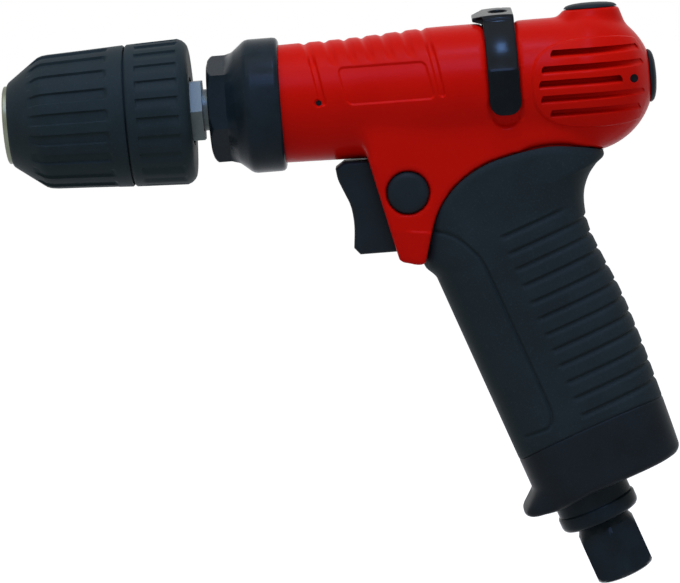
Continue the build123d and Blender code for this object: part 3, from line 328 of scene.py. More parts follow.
# Baked gloss paint over cast aluminium: deep red, faint orange peel that softens the reflections
surface("housing_paint", "gloss_paint_on_casting", {
    "colours": ("#CA0E05", "#D21206"), "cloud": 26, "grain": 0.9, "speck": "#DA1E0B", "specks": 0.25,
    "rough": (0.27, 0.35), "specular": 0.032, "bump": 0.06})
# Glass-filled nylon, moulded in a spark-eroded tool: near black, satin, a fine even grain
surface("chuck_polymer", "moulded_nylon", {
    "colours": ("#1E2829", "#242F30"), "cloud": 9, "grain": 0.45, "speck": "#323D3F", "specks": 0.5,
    "rough": (0.50, 0.60), "specular": 0.06, "bump": 0.16})
# Turned and ground chuck steel: bright, slightly warm, tool rings round the axis
surface("chuck_steel", "turned_steel", {
    "colours": ("#666A5A", "#767A69"), "cloud": 6, "grain": 0.4, "speck": "#8C907F", "specks": 0.4,
    "rough": (0.38, 0.48), "metal": 1.0, "bump": 0.10, "tool": 0.5})
# Black oxide over machined steel: deep blue-black, oily gloss, tool rings just visible
surface("black_steel", "black_oxide_steel", {
    "colours": ("#161F22", "#1E282C"), "cloud": 7, "grain": 0.6, "speck": "#273136", "specks": 0.35,
    "rough": (0.22, 0.32), "specular": 0.05, "bump": 0.04, "tool": 0.7})
# Machined mild steel left bright: grey, fine tool rings, a little dull
surface("bright_steel", "machined_steel", {
    "colours": ("#5A625E", "#69716C"), "cloud": 5, "grain": 0.4, "speck": "#7F8783", "specks": 0.4,
    "rough": (0.34, 0.46), "metal": 0.35, "specular": 0.15, "bump": 0.10, "tool": 0.45})
# Hardened and ground bearing steel: bright, mirror-like with a light haze
surface("bearing_steel", "ground_bearing_steel", {
    "colours": ("#A9ACAE", "#BBBEC0"), "cloud": 4, "grain": 0.3, "speck": "#CFD1D2", "specks": 0.3,
    "rough": (0.14, 0.22), "metal": 1.0, "bump": 0.04, "tool": 0.35})
# Case-hardened gear steel: grey with a brown heat tint and oil
surface("gear_steel", "hardened_gear_steel", {
    "colours": ("#6F6A64", "#857F77"), "cloud": 3, "grain": 0.35, "speck": "#9A948B", "specks": 0.4,
    "rough": (0.30, 0.42), "metal": 1.0, "bump": 0.08})
# Honed cast iron motor parts: dull grey, tiny graphite pits
surface("motor_iron", "honed_cast_iron", {
    "colours": ("#585A5B", "#686A6B"), "cloud": 3, "grain": 0.3, "speck": "#3A3B3C", "specks": 0.7,
    "rough": (0.38, 0.50), "metal": 1.0, "bump": 0.16})
# Sawn phenolic cloth laminate vanes: brown with the weave's fleck
surface("vane_resin", "phenolic_laminate", {
    "colours": ("#5B3A1E", "#6E4828"), "cloud": 2, "grain": 0.5, "speck": "#8A6238", "specks": 0.6,
    "rough": (0.48, 0.60), "bump": 0.12})
# Moulded nitrile seals: matt black with a dusty bloom
surface("seal_rubber", "moulded_nitrile", {
    "colours": ("#161718", "#1D1E1F"), "cloud": 4, "grain": 0.4, "speck": "#2B2C2D", "specks": 0.4,
    "rough": (0.60, 0.72), "specular": 0.2, "bump": 0.14})
# Moulded soft-touch rubber grip: blue-black, matt, fine pebble that catches light at the edges
surface("grip_rubber", "moulded_grip_rubber", {
    "colours": ("#1D2526", "#242D2E"), "cloud": 12, "grain": 0.55, "speck": "#323C3D", "specks": 0.45,
    "rough": (0.58, 0.70), "specular": 0.07, "bump": 0.22})
# Moulded acetal end cap: blacker and a little glossier than the grip
surface("cap_plastic", "moulded_acetal", {
    "colours": ("#14191B", "#1A2023"), "cloud": 10, "grain": 0.5, "speck": "#262E31", "specks": 0.4,
    "rough": (0.42, 0.52), "specular": 0.07, "bump": 0.12})
# Moulded trigger and buttons: satin black with a fine grain
surface("trigger_plastic", "moulded_satin_plastic", {
    "colours": ("#171E20", "#1D2528"), "cloud": 8, "grain": 0.45, "speck": "#293235", "specks": 0.4,
    "rough": (0.46, 0.56), "specular": 0.08, "bump": 0.14})
# Turned brass valve parts: yellow with tool rings
surface("valve_brass", "turned_brass", {
    "colours": ("#A6853F", "#BB9A52"), "cloud": 3, "grain": 0.4, "speck": "#CDB06A", "specks": 0.4,
    "rough": (0.24, 0.34), "metal": 1.0, "bump": 0.10, "tool": 0.4})
# Pressed wool felt muffler: grey, open fibre that scatters light
surface("muffler_felt", "pressed_felt", {
    "colours": ("#7F7B73", "#96928A"), "cloud": 2, "grain": 0.35, "speck": "#B7B3AB", "specks": 0.7,
    "rough": (0.85, 0.95), "specular": 0.1, "sheen": 0.4, "bump": 0.6})
# Stove enamel over bent steel strip: black, glossy, thin at the bends
surface("strap_paint", "stove_enamel", {
    "colours": ("#0C1113", "#12181A"), "cloud": 6, "grain": 0.7, "speck": "#1E2629", "specks": 0.35,
    "rough": (0.12, 0.16), "specular": 0.05, "bump": 0.03})

for row in frame["record"]["subparts"]:  # every CAD node takes its slot's finish
    node = bpy.data.objects[row["node"]]
    node.data.materials.clear()
    node.data.materials.append(finishes[row["material_slot"]])
print("materials:", len(finishes))


# Handle: its own axes run n across (back positive), y sideways and d down the handle
handle = {
    "at": 119.0, "lean": radians(20), "halfWidth": 17.0, "halfDepth": 23.5, "square": 3.2, "front": -23.2,
    "flare": 2.2, "flareFrom": 43.0, "flareEnd": 49.0,  # the front swells forward to the tip at the top
    "backs": ((0.0, 40.0), (24.0, 40.0), (31.0, 38.6), (35.8, 35.8), (37.2, 32.6), (39.9, 28.7), (44.7, 25.3),
              (52.8, 23.2), (62.0, 23.3), (74.0, 24.0), (89.0, 23.6), (106.5, 22.4), (124.0, 21.0)),
    "edge": ((110.6, -48.9), (116.4, -32.0), (127.7, -22.0), (145.0, -17.6), (157.0, -18.2), (167.0, -20.5)),
    "under": ((185, -30), (185, -165), (60, -165), (60, -75), (98, -60)),  # closes the edge line round the grip
    "over": ((175, -24), (175, 30), (60, 30), (60, -70), (98, -60)), "gap": 0.28,  # and round the casting
    "walk": 2400, "denseFrom": -12.0, "denseTo": -7.0, "dense": 2.2,  # steps round the section
    "clear": 40.0,  # tools reach this far out
}
lean = handle["lean"]
handleFrame = Matrix(((cos(lean), 0, sin(lean), handle["at"]), (0, 1, 0, 0),
                      (sin(lean), 0, -cos(lean), 0), (0, 0, 0, 1)))
backLine = curveThrough(handle["backs"], 6)
gripEdge = curveThrough(handle["edge"], 24)


def sectionTurns(count):  # angles that step evenly round the section, closer by the panel's groove
    power = 2 / handle["square"]
    walk = [(0.0, 0.0)]
    last = Vector((handle["halfDepth"], 0))
    for i in range(1, handle["walk"] + 1):
        t = 2 * pi * i / handle["walk"]
        here = Vector((handle["halfDepth"] * signedPower(cos(t), power),
                       handle["halfWidth"] * signedPower(sin(t), power)))
        dense = handle["dense"] if handle["denseFrom"] < here.x < handle["denseTo"] else 1.0
        walk.append((walk[-1][0] + (here - last).length * dense, t))
        last = here
    return [alongLine(walk, walk[-1][0] * k / count) for k in range(count)] + [0.0]


def handleTube(fromD, toD, rowGap, around, inset, shape=None, seam=None):
    # inset takes d; shape, which moves outwards, and seam, which moves down, take n, y and d
    rows = max(1, round((toD - fromD) / rowGap))
    bm = bmesh.new()
    bmesh.ops.create_grid(bm, x_segments=around, y_segments=rows, size=0.5)
    turns = sectionTurns(around)
    power = 2 / handle["square"]
    for v in bm.verts:
        d = fromD + (v.co.y + 0.5) * (toD - fromD)
        t = turns[round((v.co.x + 0.5) * around)]
        swell = handle["flare"] * smoothStep(handle["flareEnd"], handle["flareFrom"], d)
        front = handle["front"] - swell + inset(d)
        back = alongLine(backLine, d) - inset(d)
        reach, half = (back - front) / 2, handle["halfWidth"] - inset(d)
        c, s = cos(t), sin(t)
        n = (front + back) / 2 + reach * signedPower(c, power)
        y = half * signedPower(s, power)
        if seam:
            d += seam(n, y, d)
        if shape:
            out = Vector((signedPower(c, 2 - power) / reach, signedPower(s, 2 - power) / half)).normalized()
            move = shape(n, y, d)
            n, y = n + out.x * move, y + out.y * move
        v.co = (n, y, d)
    bmesh.ops.remove_doubles(bm, verts=bm.verts, dist=0.005)
    closeHoles(bm)
    bm.transform(handleFrame)
    bmesh.ops.recalc_face_normals(bm, faces=bm.faces)
    return bm


def gripBlock(line):  # tool over all that lies on one side of the grip's edge
    return prism(line, -handle["clear"], handle["clear"])


underGrip = [*gripEdge, *handle["under"]]
overGrip = [*((x + handle["gap"], z - handle["gap"]) for x, z in gripEdge), *handle["over"]]


# Housing casting: barrel, dome, plug boss and column in one red skin
casting = {
    "barrel": ((58.0, 16.8), (73.0, 17.1), (84.0, 17.3), (95.5, 17.6), (106.0, 18.2), (117.0, 18.75),
               (132.0, 18.8), (147.0, 18.85), (152.0, 19.05), (155.5, 19.6), (158.5, 20.35)),
    "front": 73.0, "dome": (160.0, 20.7), "back": 179.4, "clear": 32.0, "voxel": 0.68, "skinRounds": 2,
    "boss": ((6.0, 0), (6.0, 11.2), (14.0, 10.2), (17.0, 9.35), (19.0, 8.65), (20.3, 8.25), (20.7, 8.05),
             (20.85, 7.75), (20.85, 0)), "bossAt": 163.9,
    "bossFoot": (8.8, 12.5, 10.0), "bossRounds": 3,  # from, to and above: the collar round its foot is softened
    "crest": 18.85, "crestFrom": 144.0, "crestTo": 162.0, "crestFade": 156.0,  # the top runs level into the boss
    "crestAngles": (25.0, 55.0), "crestLow": 8.0, "crestBoss": 9.3,
    "columnFront": 92.6, "columnLean": 12.95, "columnHalf": 16.0, "columnEdge": 2.0, "columnTop": -6.0,
    "columnBack": 138.0, "root": (-2.0, 56.0, 2.0, 120), "rootInset": 0.9,  # from, to, row and steps round
    "foot": ((103.4, -47.0), (103.8, -47.4), (109.0, -48.8), (110.2, -48.6)),
    "web": (92.0, -18.0, -3.0), "webSide": 9.0, "webRounds": 30,  # soft root between barrel and column
    "strapAt": 136.95, "channel": (5.0, 17.55, -6.1), "channelEnds": (110.0, 160.0),
    "button": (107.3, -27.6), "buttonRecess": (6.35, 13.25),
    "pocket": (-17.5, -45.2), "pocketDepth": 4.65, "pocketHalf": 9.35, "pocketFront": 20.0,
    "strokeSide": 0.1, "strokeEnd": 0.6,  # exact cuts that leave room for the trigger's stroke
    "recessSide": 0.12, "recessEnd": 0.05,  # and for the buttons'
    "bore": ((60, 0), (60, 15.0), (145.5, 15.0), (145.5, 11.0), (171.4, 11.0), (171.4, 6.25), (190, 6.25),
             (190, 0)),
    "plugBore": (8.0, 30.0, 6.25), "valveBore": (100.0, 134.0, 4.25), "valveZ": -36.3, "rodBore": 2.6,
    "core": (22.0, 116.3, 8.0, 64), "coreInset": 3.3,  # runs down inside the grip
    "holes": ((83.85, 0.8, 0.75), (174.1, 1.2, 0.1)), "holeFloor": 11.0,  # where, radius and rim
}


def columnFront(z):
    return casting["columnFront"] - z * tan(radians(casting["columnLean"]))


domeX, domeR = casting["dome"]
barrelLine = curveThrough(casting["barrel"], 4)
shellLine = barrelLine + [(domeX + domeR * sin(radians(a)), domeR * cos(radians(a))) for a in range(4, 70, 5)]
shellLine.append((casting["back"], sqrt(domeR ** 2 - (casting["back"] - domeX) ** 2)))


def castingShell(shrink):  # barrel and dome, spun
    line = [(x, r - shrink) for x, r in shellLine]
    return turned([(line[0][0], 0), *line, (line[-1][0], 0)], 128)


def makeBlank():
    half, top, back = casting["columnHalf"], casting["columnTop"], casting["columnBack"]
    boss = placed(turned(casting["boss"], 64), standing(casting["bossAt"]))
    rear = [p for p in gripEdge if p[0] < back]
    column = prism([(columnFront(top), top), *casting["foot"], *rear, (back, top)], -half, half)
    front = [e for e in column.edges if all(abs(v.co.x - columnFront(v.co.z)) < 0.2 for v in e.verts)
             and abs(e.verts[0].co.z - e.verts[1].co.z) > 10]
    roundEdges(column, front, casting["columnEdge"], 6)
    root = handleTube(*casting["root"], lambda d: casting["rootInset"])
    sliceOff(root, (0, 0, top), (0, 0, 1))
    root = worked(root, [gripBlock(underGrip)])
    bm = worked(joined(castingShell(0), boss, column, root), voxel=casting["voxel"])
    fromX, low, high = casting["web"]
    soften(bm, [v for v in bm.verts if abs(v.co.y) > casting["webSide"] and low < v.co.z < high and v.co.x > fromX],
           casting["webRounds"])
    crest, bossAt = casting["crest"], casting["bossAt"]
    for v in bm.verts:
        x, y, z = v.co
        r = hypot(y, z)
        onTop = casting["crestFrom"] < x < casting["crestTo"] and z > casting["crestLow"] and r > crest
        if onTop and hypot(x - bossAt, y) > casting["crestBoss"]:
            level = smoothStep(*casting["crestAngles"], degrees(atan2(z, abs(y))))
            level *= smoothStep(casting["crestTo"], casting["crestFade"], x)
            v.co += Vector((0, y, z)) / r * (crest - r) * level
    near, far, above = casting["bossFoot"]
    soften(bm, [v for v in bm.verts if v.co.z > above and near < hypot(v.co.x - bossAt, v.co.y) < far],
           casting["bossRounds"])
    return bm


def pocketTool(end, half):  # the trigger's pocket in the column
    top, bottom = casting["pocket"]
    out, deep = casting["pocketFront"], casting["pocketDepth"] + end
    return prism([(columnFront(top) - out, top), (columnFront(top) + deep, top),
                  (columnFront(bottom) + deep, bottom), (columnFront(bottom) - out, bottom)], -half, half)


def recessTools(radius, depth):  # one for each button
    clear = casting["clear"]
    return [rod(casting["button"], radius, -clear, -depth), rod(casting["button"], radius, depth, clear)]


def cutPockets(bm):  # with soft edges from the remesh
    reach, floor, low = casting["channel"]
    at, clear = casting["strapAt"], casting["clear"]
    bend = [(at + reach * cos(radians(a)), low + reach * sin(radians(a))) for a in range(180, 361, 15)]
    channel = worked(prism([(at - reach, clear), *bend, (at + reach, clear)], -clear, clear),
                     [pin(*casting["channelEnds"], floor, 96)])
    tools = [channel, *recessTools(*casting["buttonRecess"]), pocketTool(0.0, casting["pocketHalf"])]
    bm = worked(bm, tools, voxel=casting["voxel"])
    soften(bm, bm.verts[:], casting["skinRounds"])
    return bm


# Small cast forms: dips over the top, two long grooves, a side panel, the grill's pad and a crease on the column
relief = {
    "dips": (80.5, 86.4, 92.1, 97.2, 102.9, 108.7, 114.6), "dipDepth": 0.62, "dipHalf": 1.7,
    "dipSlant": 4.6 / 93, "dipAngles": (33.0, 47.0),  # back for each degree down, and where they fade in
    "grooveHalf": 1.05, "grooveDepth": 0.6, "grooveAngles": (55.0, 42.0), "grooveEnd": 0.33,
    "grooveWalls": (1.1, 0.55), "grooveRim": 0.5,
    "panel": (103.5, 4.2, 12.5, 5.4, 1.6), "panelDepth": 0.5, "panelSlant": 0.2, "panelSlope": 0.3, "panelRim": 0.8,
    "pad": (164.0, -0.1, 19.1, 12.5), "padSquare": 2.8, "padRise": 0.7, "padSlope": 0.025,
    "padEnds": (179.0, 174.0), "padRim": (0.88, 1.12),
    "crease": (106.9, -38.4, 0.13), "creaseRise": 0.35, "creaseLean": 0.11, "creaseEnds": (105.0, 108.5),
    "slots": ((150.6, 176.1, 8.6), (147.7, 177.3, 4.2), (146.7, 170.6, 0.15), (147.0, 177.3, -4.15),
              (149.4, 175.7, -8.35)),
    "slotHalf": (1.25, 1.8), "slotDepth": 4.2, "slotRound": 0.7, "slotSlope": 0.22, "slotStep": (0.32, 0.6),
    "slotLift": 0.12, "slotLong": 172.0, "slotRunOut": 0.72, "slotFade": (0.35, 1.0),  # long ones run out behind
    "barrelZone": (74.0, 128.0, -4.0, 1.2), "dipZone": (77.0, 120.0, 9.0, 1.0),
    "crispZone": (78.0, 125.0, -4.0, 1.0), "crispTop": 17.0, "padFrom": 140.0, "padFine": 143.0, "padSide": 8.0,
    "creaseTo": 122.0, "creaseTop": -30.0, "creaseSide": 9.0,
    "creaseNear": 1.6, "creaseLedge": (0.0, 0.5), "creaseFrom": 0.6,
}


def padShare(x, z):  # 1 on the outline of the grill's pad
    padX, padZ, padW, padH = relief["pad"]
    square = relief["padSquare"]
    return (abs((x - padX) / padW) ** square + abs((z - padZ) / padH) ** square) ** (1 / square)


def belowCrease(x, z):
    creaseX, creaseZ, fall = relief["crease"]
    return creaseZ - fall * (x - creaseX) - z


def panelEdge(x, z):  # how far outside the side panel's outline
    panelX, panelZ, panelW, panelH, panelR = relief["panel"]
    dx = abs(x - panelX - relief["panelSlant"] * (panelZ - z)) - panelW + panelR
    dz = abs(z - panelZ) - panelH + panelR
    return hypot(max(dx, 0), max(dz, 0)) + min(max(dx, dz), 0) - panelR


def dipOffsets(p):  # along the barrel from each dip, whose lines slant back down the sides
    angle = degrees(atan2(p.z, abs(p.y)))
    return angle, [p.x - relief["dipSlant"] * (90 - angle) - dip for dip in relief["dips"]]


def onBarrel(p, zone):  # zone is from x, to x, above z and how near to the skin
    fromX, toX, above, near = zone
    inZone = fromX < p.x < toX and p.z > above
    return inZone and abs(hypot(p.y, p.z) - alongLine(barrelLine, p.x)) < near


def crispForms(p):  # the panel's rim and the two long grooves
    if p.z >= relief["crispTop"] or not onBarrel(p, relief["crispZone"]):
        return False
    off = dipOffsets(p)[1]
    byGroove = min(abs(off[0]), abs(off[-1])) < relief["grooveHalf"] + relief["grooveRim"]
    return byGroove or abs(panelEdge(p.x, p.z)) < relief["panelRim"]


def smallForms(p):  # where the skin needs more faces
    if crispForms(p) or onBarrel(p, relief["dipZone"]):
        return True
    if p.x > relief["padFine"] and abs(p.y) > relief["padSide"]:
        inner, outer = relief["padRim"]
        return inner < padShare(p.x, p.z) < outer
    byCrease = abs(belowCrease(p.x, p.z)) < relief["creaseNear"]
    return byCrease and abs(p.y) > relief["creaseSide"] and p.x < relief["creaseTo"]


def barrelMove(p):  # outwards, for the dips, the grooves and the panel
    angle, off = dipOffsets(p)
    move = 0.0
    for near in [o for o in off if abs(o) < relief["dipHalf"]]:
        share = 0.5 * (1 + cos(pi * near / relief["dipHalf"]))
        move -= relief["dipDepth"] * smoothStep(*relief["dipAngles"], angle) * share
    past = max(-angle, 0) * relief["grooveEnd"]  # mm past the grooves' lower end
    for near in (off[0], off[-1]):
        wide = hypot(near, past) / relief["grooveHalf"]
        sink = relief["grooveDepth"] * smoothStep(*relief["grooveWalls"], wide)
        move -= sink * smoothStep(*relief["grooveAngles"], angle)
    slope = relief["panelSlope"]
    return move - relief["panelDepth"] * smoothStep(slope, -slope, panelEdge(p.x, p.z))


def raiseRelief(bm):
    divideFaces(bm, smallForms)
    divideFaces(bm, crispForms)
    slope = relief["padSlope"]
    for v in bm.verts:
        x, y, z = v.co
        r = hypot(y, z)
        move = 0.0
        if onBarrel(v.co, relief["barrelZone"]):
            move += barrelMove(v.co)
        if abs(y) > relief["padSide"] and x > relief["padFrom"]:
            pad = smoothStep(1 + slope, 1 - slope, padShare(x, z))
            move += relief["padRise"] * pad * smoothStep(*relief["padEnds"], x)
        if move:
            v.co += Vector((0, y, z)) / r * move
        below = belowCrease(x, z)  # a small ledge, and the side leans in under it
        if abs(y) > relief["creaseSide"] and z < relief["creaseTop"] and below > 0:
            rise = relief["creaseRise"] * smoothStep(*relief["creaseLedge"], below)
            ledge = rise * smoothStep(*relief["creaseEnds"], x)
            v.co.y += (1 if y > 0 else -1) * (ledge - relief["creaseLean"] * max(below - relief["creaseFrom"], 0))


def louver(x0, x1, z, side):  # slot tool, deep under its upper edge and running out below
    bm = bmesh.new()
    bmesh.ops.create_grid(bm, x_segments=48, y_segments=8, size=0.5)
    high, low = relief["slotHalf"]
    slope = relief["slotSlope"]
    for v in bm.verts:
        along, t = v.co.x + 0.5, v.co.y + 0.5
        ends = relief["slotRound"] * (2 * t - 1) ** 2
        x, up = x0 + ends + (x1 - x0 - 2 * ends) * along, z - low + (high + low) * t
        r = alongLine(shellLine, x) + relief["padRise"]
        depth = relief["slotDepth"] * (slope * t + (1 - slope) * smoothStep(*relief["slotStep"], t))
        if x1 > relief["slotLong"]:
            depth *= 1 - relief["slotRunOut"] * smoothStep(*relief["slotFade"], along)
        v.co = (x, side * (sqrt(r * r - up * up) + relief["slotLift"] - depth), up)
    for v in bmesh.ops.extrude_face_region(bm, geom=bm.faces[:])["geom"]:
        if isinstance(v, bmesh.types.BMVert):
            v.co.y = side * casting["clear"]
    bmesh.ops.recalc_face_normals(bm, faces=bm.faces)
    return bm


def sideHole(x, radius, rim, side):
    face, floor, clear = alongLine(shellLine, x), casting["holeFloor"], casting["clear"]
    profile = [(floor, 0), (floor, radius), (face - rim, radius), (face + 0.1, radius + rim), (clear, radius + rim),
               (clear, 0)]
    return placed(turned([(side * out, r) for out, r in profile], 28), sideways(x))


def drillHousing(bm):
    clear = casting["clear"]
    recess, depth = casting["buttonRecess"]
    slots = [louver(*slot, side) for slot in relief["slots"] for side in (-1, 1)]
    tools = [joined(bmesh.new(), *slots), turned(casting["bore"], 96),
             placed(pin(*casting["plugBore"], 48), standing(casting["bossAt"])),
             placed(pin(*casting["valveBore"], 40), Matrix.Translation((0, 0, casting["valveZ"]))),
             rod(casting["button"], casting["rodBore"], -clear, clear)]
    tools += recessTools(recess - casting["recessSide"], depth - casting["recessEnd"])
    tools.append(pocketTool(casting["strokeEnd"], casting["pocketHalf"] - casting["strokeSide"]))
    tools += [sideHole(*hole, side) for hole in casting["holes"] for side in (-1, 1)]
    return worked(bm, tools)


bm = cutPockets(makeBlank())
raiseRelief(bm)
sliceOff(bm, (casting["front"], 0, 0), (-1, 0, 0))
bm = worked(bm, [handleTube(*casting["core"], lambda d: casting["coreInset"])], way="UNION")
placePiece(drillHousing(bm), "housing_casting", "housing", "housing_paint", ["housing"], sharp=50)

# Grip sleeve: ribbed sides and back, a groove round the smooth panel at the front
grip = {
    "from": 17.0, "to": 107.06, "row": 0.34, "around": 310, "wall": 3.2, "bottomEdge": 0.3, "bottomHeight": 0.45,
    "sag": 2.1, "sagFrom": 84.0,  # the seam is higher at the sides
    "ribs": (44.3, 49.5, 54.4, 59.6, 65.0, 70.1, 75.1, 80.1, 84.9, 90.2, 95.3, 100.5), "ribDepth": 0.75,
    "ribUpper": (-0.4, 0.1), "ribLower": (1.9, 0.1),  # steep above, running out below
    "ribStart": (-2.2, -0.2), "topRibEnd": (20.0, 16.0),  # the top one stops short of the back
    "panel": ((-24.0, 33.0), (-17.6, 35.7), (-13.5, 39.1), (-10.9, 43.8), (-9.3, 48.7), (-9.05, 57.0),
              (-9.0, 70.0), (-9.0, 90.0), (-9.3, 97.0), (-11.2, 100.2), (-14.5, 100.4), (-18.5, 100.2)),
    "panelDepth": 0.6, "panelHalf": 0.8, "roll": 0.85, "rollWidth": 2.4, "barrelGap": 0.2,
    "hollow": (10.0, 120.0, 6.0, 72),  # from, to, row and steps round
}
edgeTree = lineTree(curveThrough(handle["edge"], 144))
panelTree = lineTree(curveThrough(grip["panel"], 60))


def seamRise(y):  # the grip's lower seam against its middle
    return -grip["sag"] * (y / handle["halfWidth"]) ** 2


def gripInset(d):
    return grip["bottomEdge"] * smoothStep(grip["to"] - grip["bottomHeight"], grip["to"], d)


def gripSeam(n, y, d):
    return seamRise(y) * smoothStep(grip["sagFrom"], grip["to"], d)


def gripShape(n, y, d):
    move = 0.0
    for rib in grip["ribs"]:
        off = d - rib
        sink = smoothStep(*grip["ribUpper"], off) * smoothStep(*grip["ribLower"], off)
        sink *= smoothStep(*grip["ribStart"], n)
        if rib == grip["ribs"][0]:
            sink *= smoothStep(*grip["topRibEnd"], n)
        move -= grip["ribDepth"] * sink
    off = panelTree.find((n, 0, d))[2] / grip["panelHalf"]
    if off < 1:
        move -= grip["panelDepth"] * (1 - off * off) ** 2
    here = handleFrame @ Vector((n, 0, d))
    near = edgeTree.find((here.x, 0, here.z))[2]
    if near < grip["rollWidth"]:
        move -= grip["roll"] * (1 - near / grip["rollWidth"]) ** 2
    return move


bm = handleTube(grip["from"], grip["to"], grip["row"], grip["around"], gripInset, gripShape, gripSeam)
inside = handleTube(*grip["hollow"], lambda d: grip["wall"])
bm = worked(bm, [gripBlock(overGrip), inside, castingShell(-grip["barrelGap"])])
placePiece(bm, "grip_sleeve_rubber", "housing", "grip_rubber", ["grip_sleeve"], sharp=50)

# End cap with its front lip
cap = {
    "from": 107.1, "to": 124.0, "row": 0.33, "around": 200, "edge": 2.3, "wall": 3.3,
    "hollow": (100.0, 120.8, 4.0, 64), "topEdge": 0.3, "topHeight": 0.45, "sagTo": 116.0,
    "hole": (100.0, 140.0, 8.7), "holeAt": -8.3,
    "lip": ((116.3, 0.0), (117.0, 0.3), (117.7, 1.0), (118.7, 2.2), (119.7, 3.4), (120.5, 4.4), (121.3, 5.0),
            (122.1, 5.1), (122.8, 4.8), (123.3, 4.2), (123.7, 3.3), (123.9, 2.2), (124.0, 1.0)),
    "lipHalf": (14.0, 8.0), "lipBack": -8.0,
    "drop": ((-27.0, 1.0), (-17.0, 0.3), (-8.0, -0.8), (16.0, -0.5)),  # the bottom is lower at the lip
    "dropHeights": (117.0, 123.0),
}


def capInset(d):
    low = d - (cap["to"] - cap["edge"])
    top = cap["topEdge"] * smoothStep(cap["from"] + cap["topHeight"], cap["from"], d)
    return top + (cap["edge"] - sqrt(max(cap["edge"] ** 2 - low * low, 0.0)) if low > 0 else 0.0)


def capShape(n, y, d):
    return alongLine(cap["lip"], d) * smoothStep(*cap["lipHalf"], abs(y)) if n < cap["lipBack"] else 0.0


def capSeam(n, y, d):
    side = seamRise(y) * smoothStep(cap["sagTo"], cap["from"], d)
    return side + alongLine(cap["drop"], n) * smoothStep(*cap["dropHeights"], d)


inletFrame = Matrix(((sin(lean), 0, cos(lean), handle["at"] + cap["holeAt"] * cos(lean)), (0, 1, 0, 0),
                     (-cos(lean), 0, sin(lean), cap["holeAt"] * sin(lean)), (0, 0, 0, 1)))  # x runs down the inlet
bm = handleTube(cap["from"], cap["to"], cap["row"], cap["around"], capInset, capShape, capSeam)
inside = handleTube(*cap["hollow"], lambda d: cap["wall"])
bm = worked(bm, [inside, placed(pin(*cap["hole"], 48), inletFrame)])
placePiece(bm, "handle_end_cap_moulding", "housing", "cap_plastic", ["handle_end_cap"], sharp=50)

# Inlet collar and hex bushing
inlet = {
    "collar": ((124.0, 8.05), (124.0, 11.3), (128.0, 11.3), (128.25, 11.4), (128.4, 11.65), (128.9, 11.9),
               (131.3, 11.9), (132.2, 11.65), (132.8, 11.1), (133.1, 10.3), (133.1, 8.05)),
    "shank": (102.4, 8.0), "hexTop": 133.1, "mouth": 150.9, "hex": 8.5, "turn": 30.0,
    "outside": ((133.1, 7.6), (134.3, 7.8), (135.6, 8.5), (137.0, 9.3), (138.0, 9.75), (138.8, 9.82),
                (143.0, 9.82), (147.6, 9.82), (148.6, 9.6), (149.6, 9.05), (150.4, 8.3), (150.8, 7.5),
                (150.9, 6.9), (150.9, 6.3)),
    "thread": 5.56, "threadDepth": 0.6, "pitch": 1.4, "threadStart": 0.5, "threadLength": 13.0, "bore": 4.3,
    "around": 240,
}
bm = placed(turned(inlet["collar"], 96), inletFrame)
placePiece(bm, "inlet_collar_turned", "housing", "black_steel", ["inlet_collar"])
shankTop, shankRadius = inlet["shank"]
profile = [(shankTop, inlet["bore"]), (shankTop, shankRadius), (inlet["hexTop"], shankRadius), *inlet["outside"]]
turn = inlet["mouth"] - inlet["threadStart"]
while turn > inlet["mouth"] - inlet["threadLength"]:
    profile += [(turn, inlet["thread"]), (turn - inlet["pitch"] / 2, inlet["thread"] + inlet["threadDepth"])]
    turn -= inlet["pitch"]
profile += [(turn, inlet["thread"]), (turn, inlet["bore"])]
bm = turned(profile, inlet["around"])
for v in bm.verts:  # flats
    r = hypot(v.co.y, v.co.z)
    if v.co.x > inlet["hexTop"] + 0.01 and r > inlet["hex"]:
        drawIn(v, min(hexWall(v, inlet["hex"], inlet["turn"]) / r, 1.0))
placePiece(placed(bm, inletFrame), "inlet_bushing_hex", "housing", "black_steel", ["inlet_bushing"], sharp=24)

# Clamp nut: hex front, hollow neck and round skirt
nut = {
    "row": 0.3, "around": 180, "hex": 13.5, "turn": -10.0, "bore": 12.0,
    "neck": (57.2, 59.8, 16.35),  # the hex runs out into a round neck
    "outer": ((51.9, 6.7), (51.9, 12.9), (52.3, 14.2), (52.9, 15.1), (53.5, 15.6), (57.2, 15.6), (59.8, 16.35),
              (60.8, 17.15), (61.8, 18.0), (62.7, 18.75), (63.5, 19.2), (64.4, 19.38), (66.5, 19.4), (71.4, 19.4),
              (72.2, 19.25), (72.7, 18.85), (73.0, 18.2), (73.0, 17.3)),
    "inner": ((73.0, 16.3), (66.3, 16.3), (66.3, 15.0), (60.3, 15.0), (60.3, 9.55), (56.3, 9.55), (56.3, 6.7)),
}
bm = turned([*divided(nut["outer"], nut["row"]), *nut["inner"]], nut["around"])
start, end, neck = nut["neck"]
for v in bm.verts:
    x, r = v.co.x, hypot(v.co.y, v.co.z)
    if x < end and r > nut["bore"]:
        wall = hexWall(v, nut["hex"], nut["turn"])
        wall += (neck - wall) * max(x - start, 0) / (end - start)
        drawIn(v, min(wall / r, 1.0))
placePiece(bm, "clamp_nut_machined", "housing", "black_steel", ["clamp_nut"])

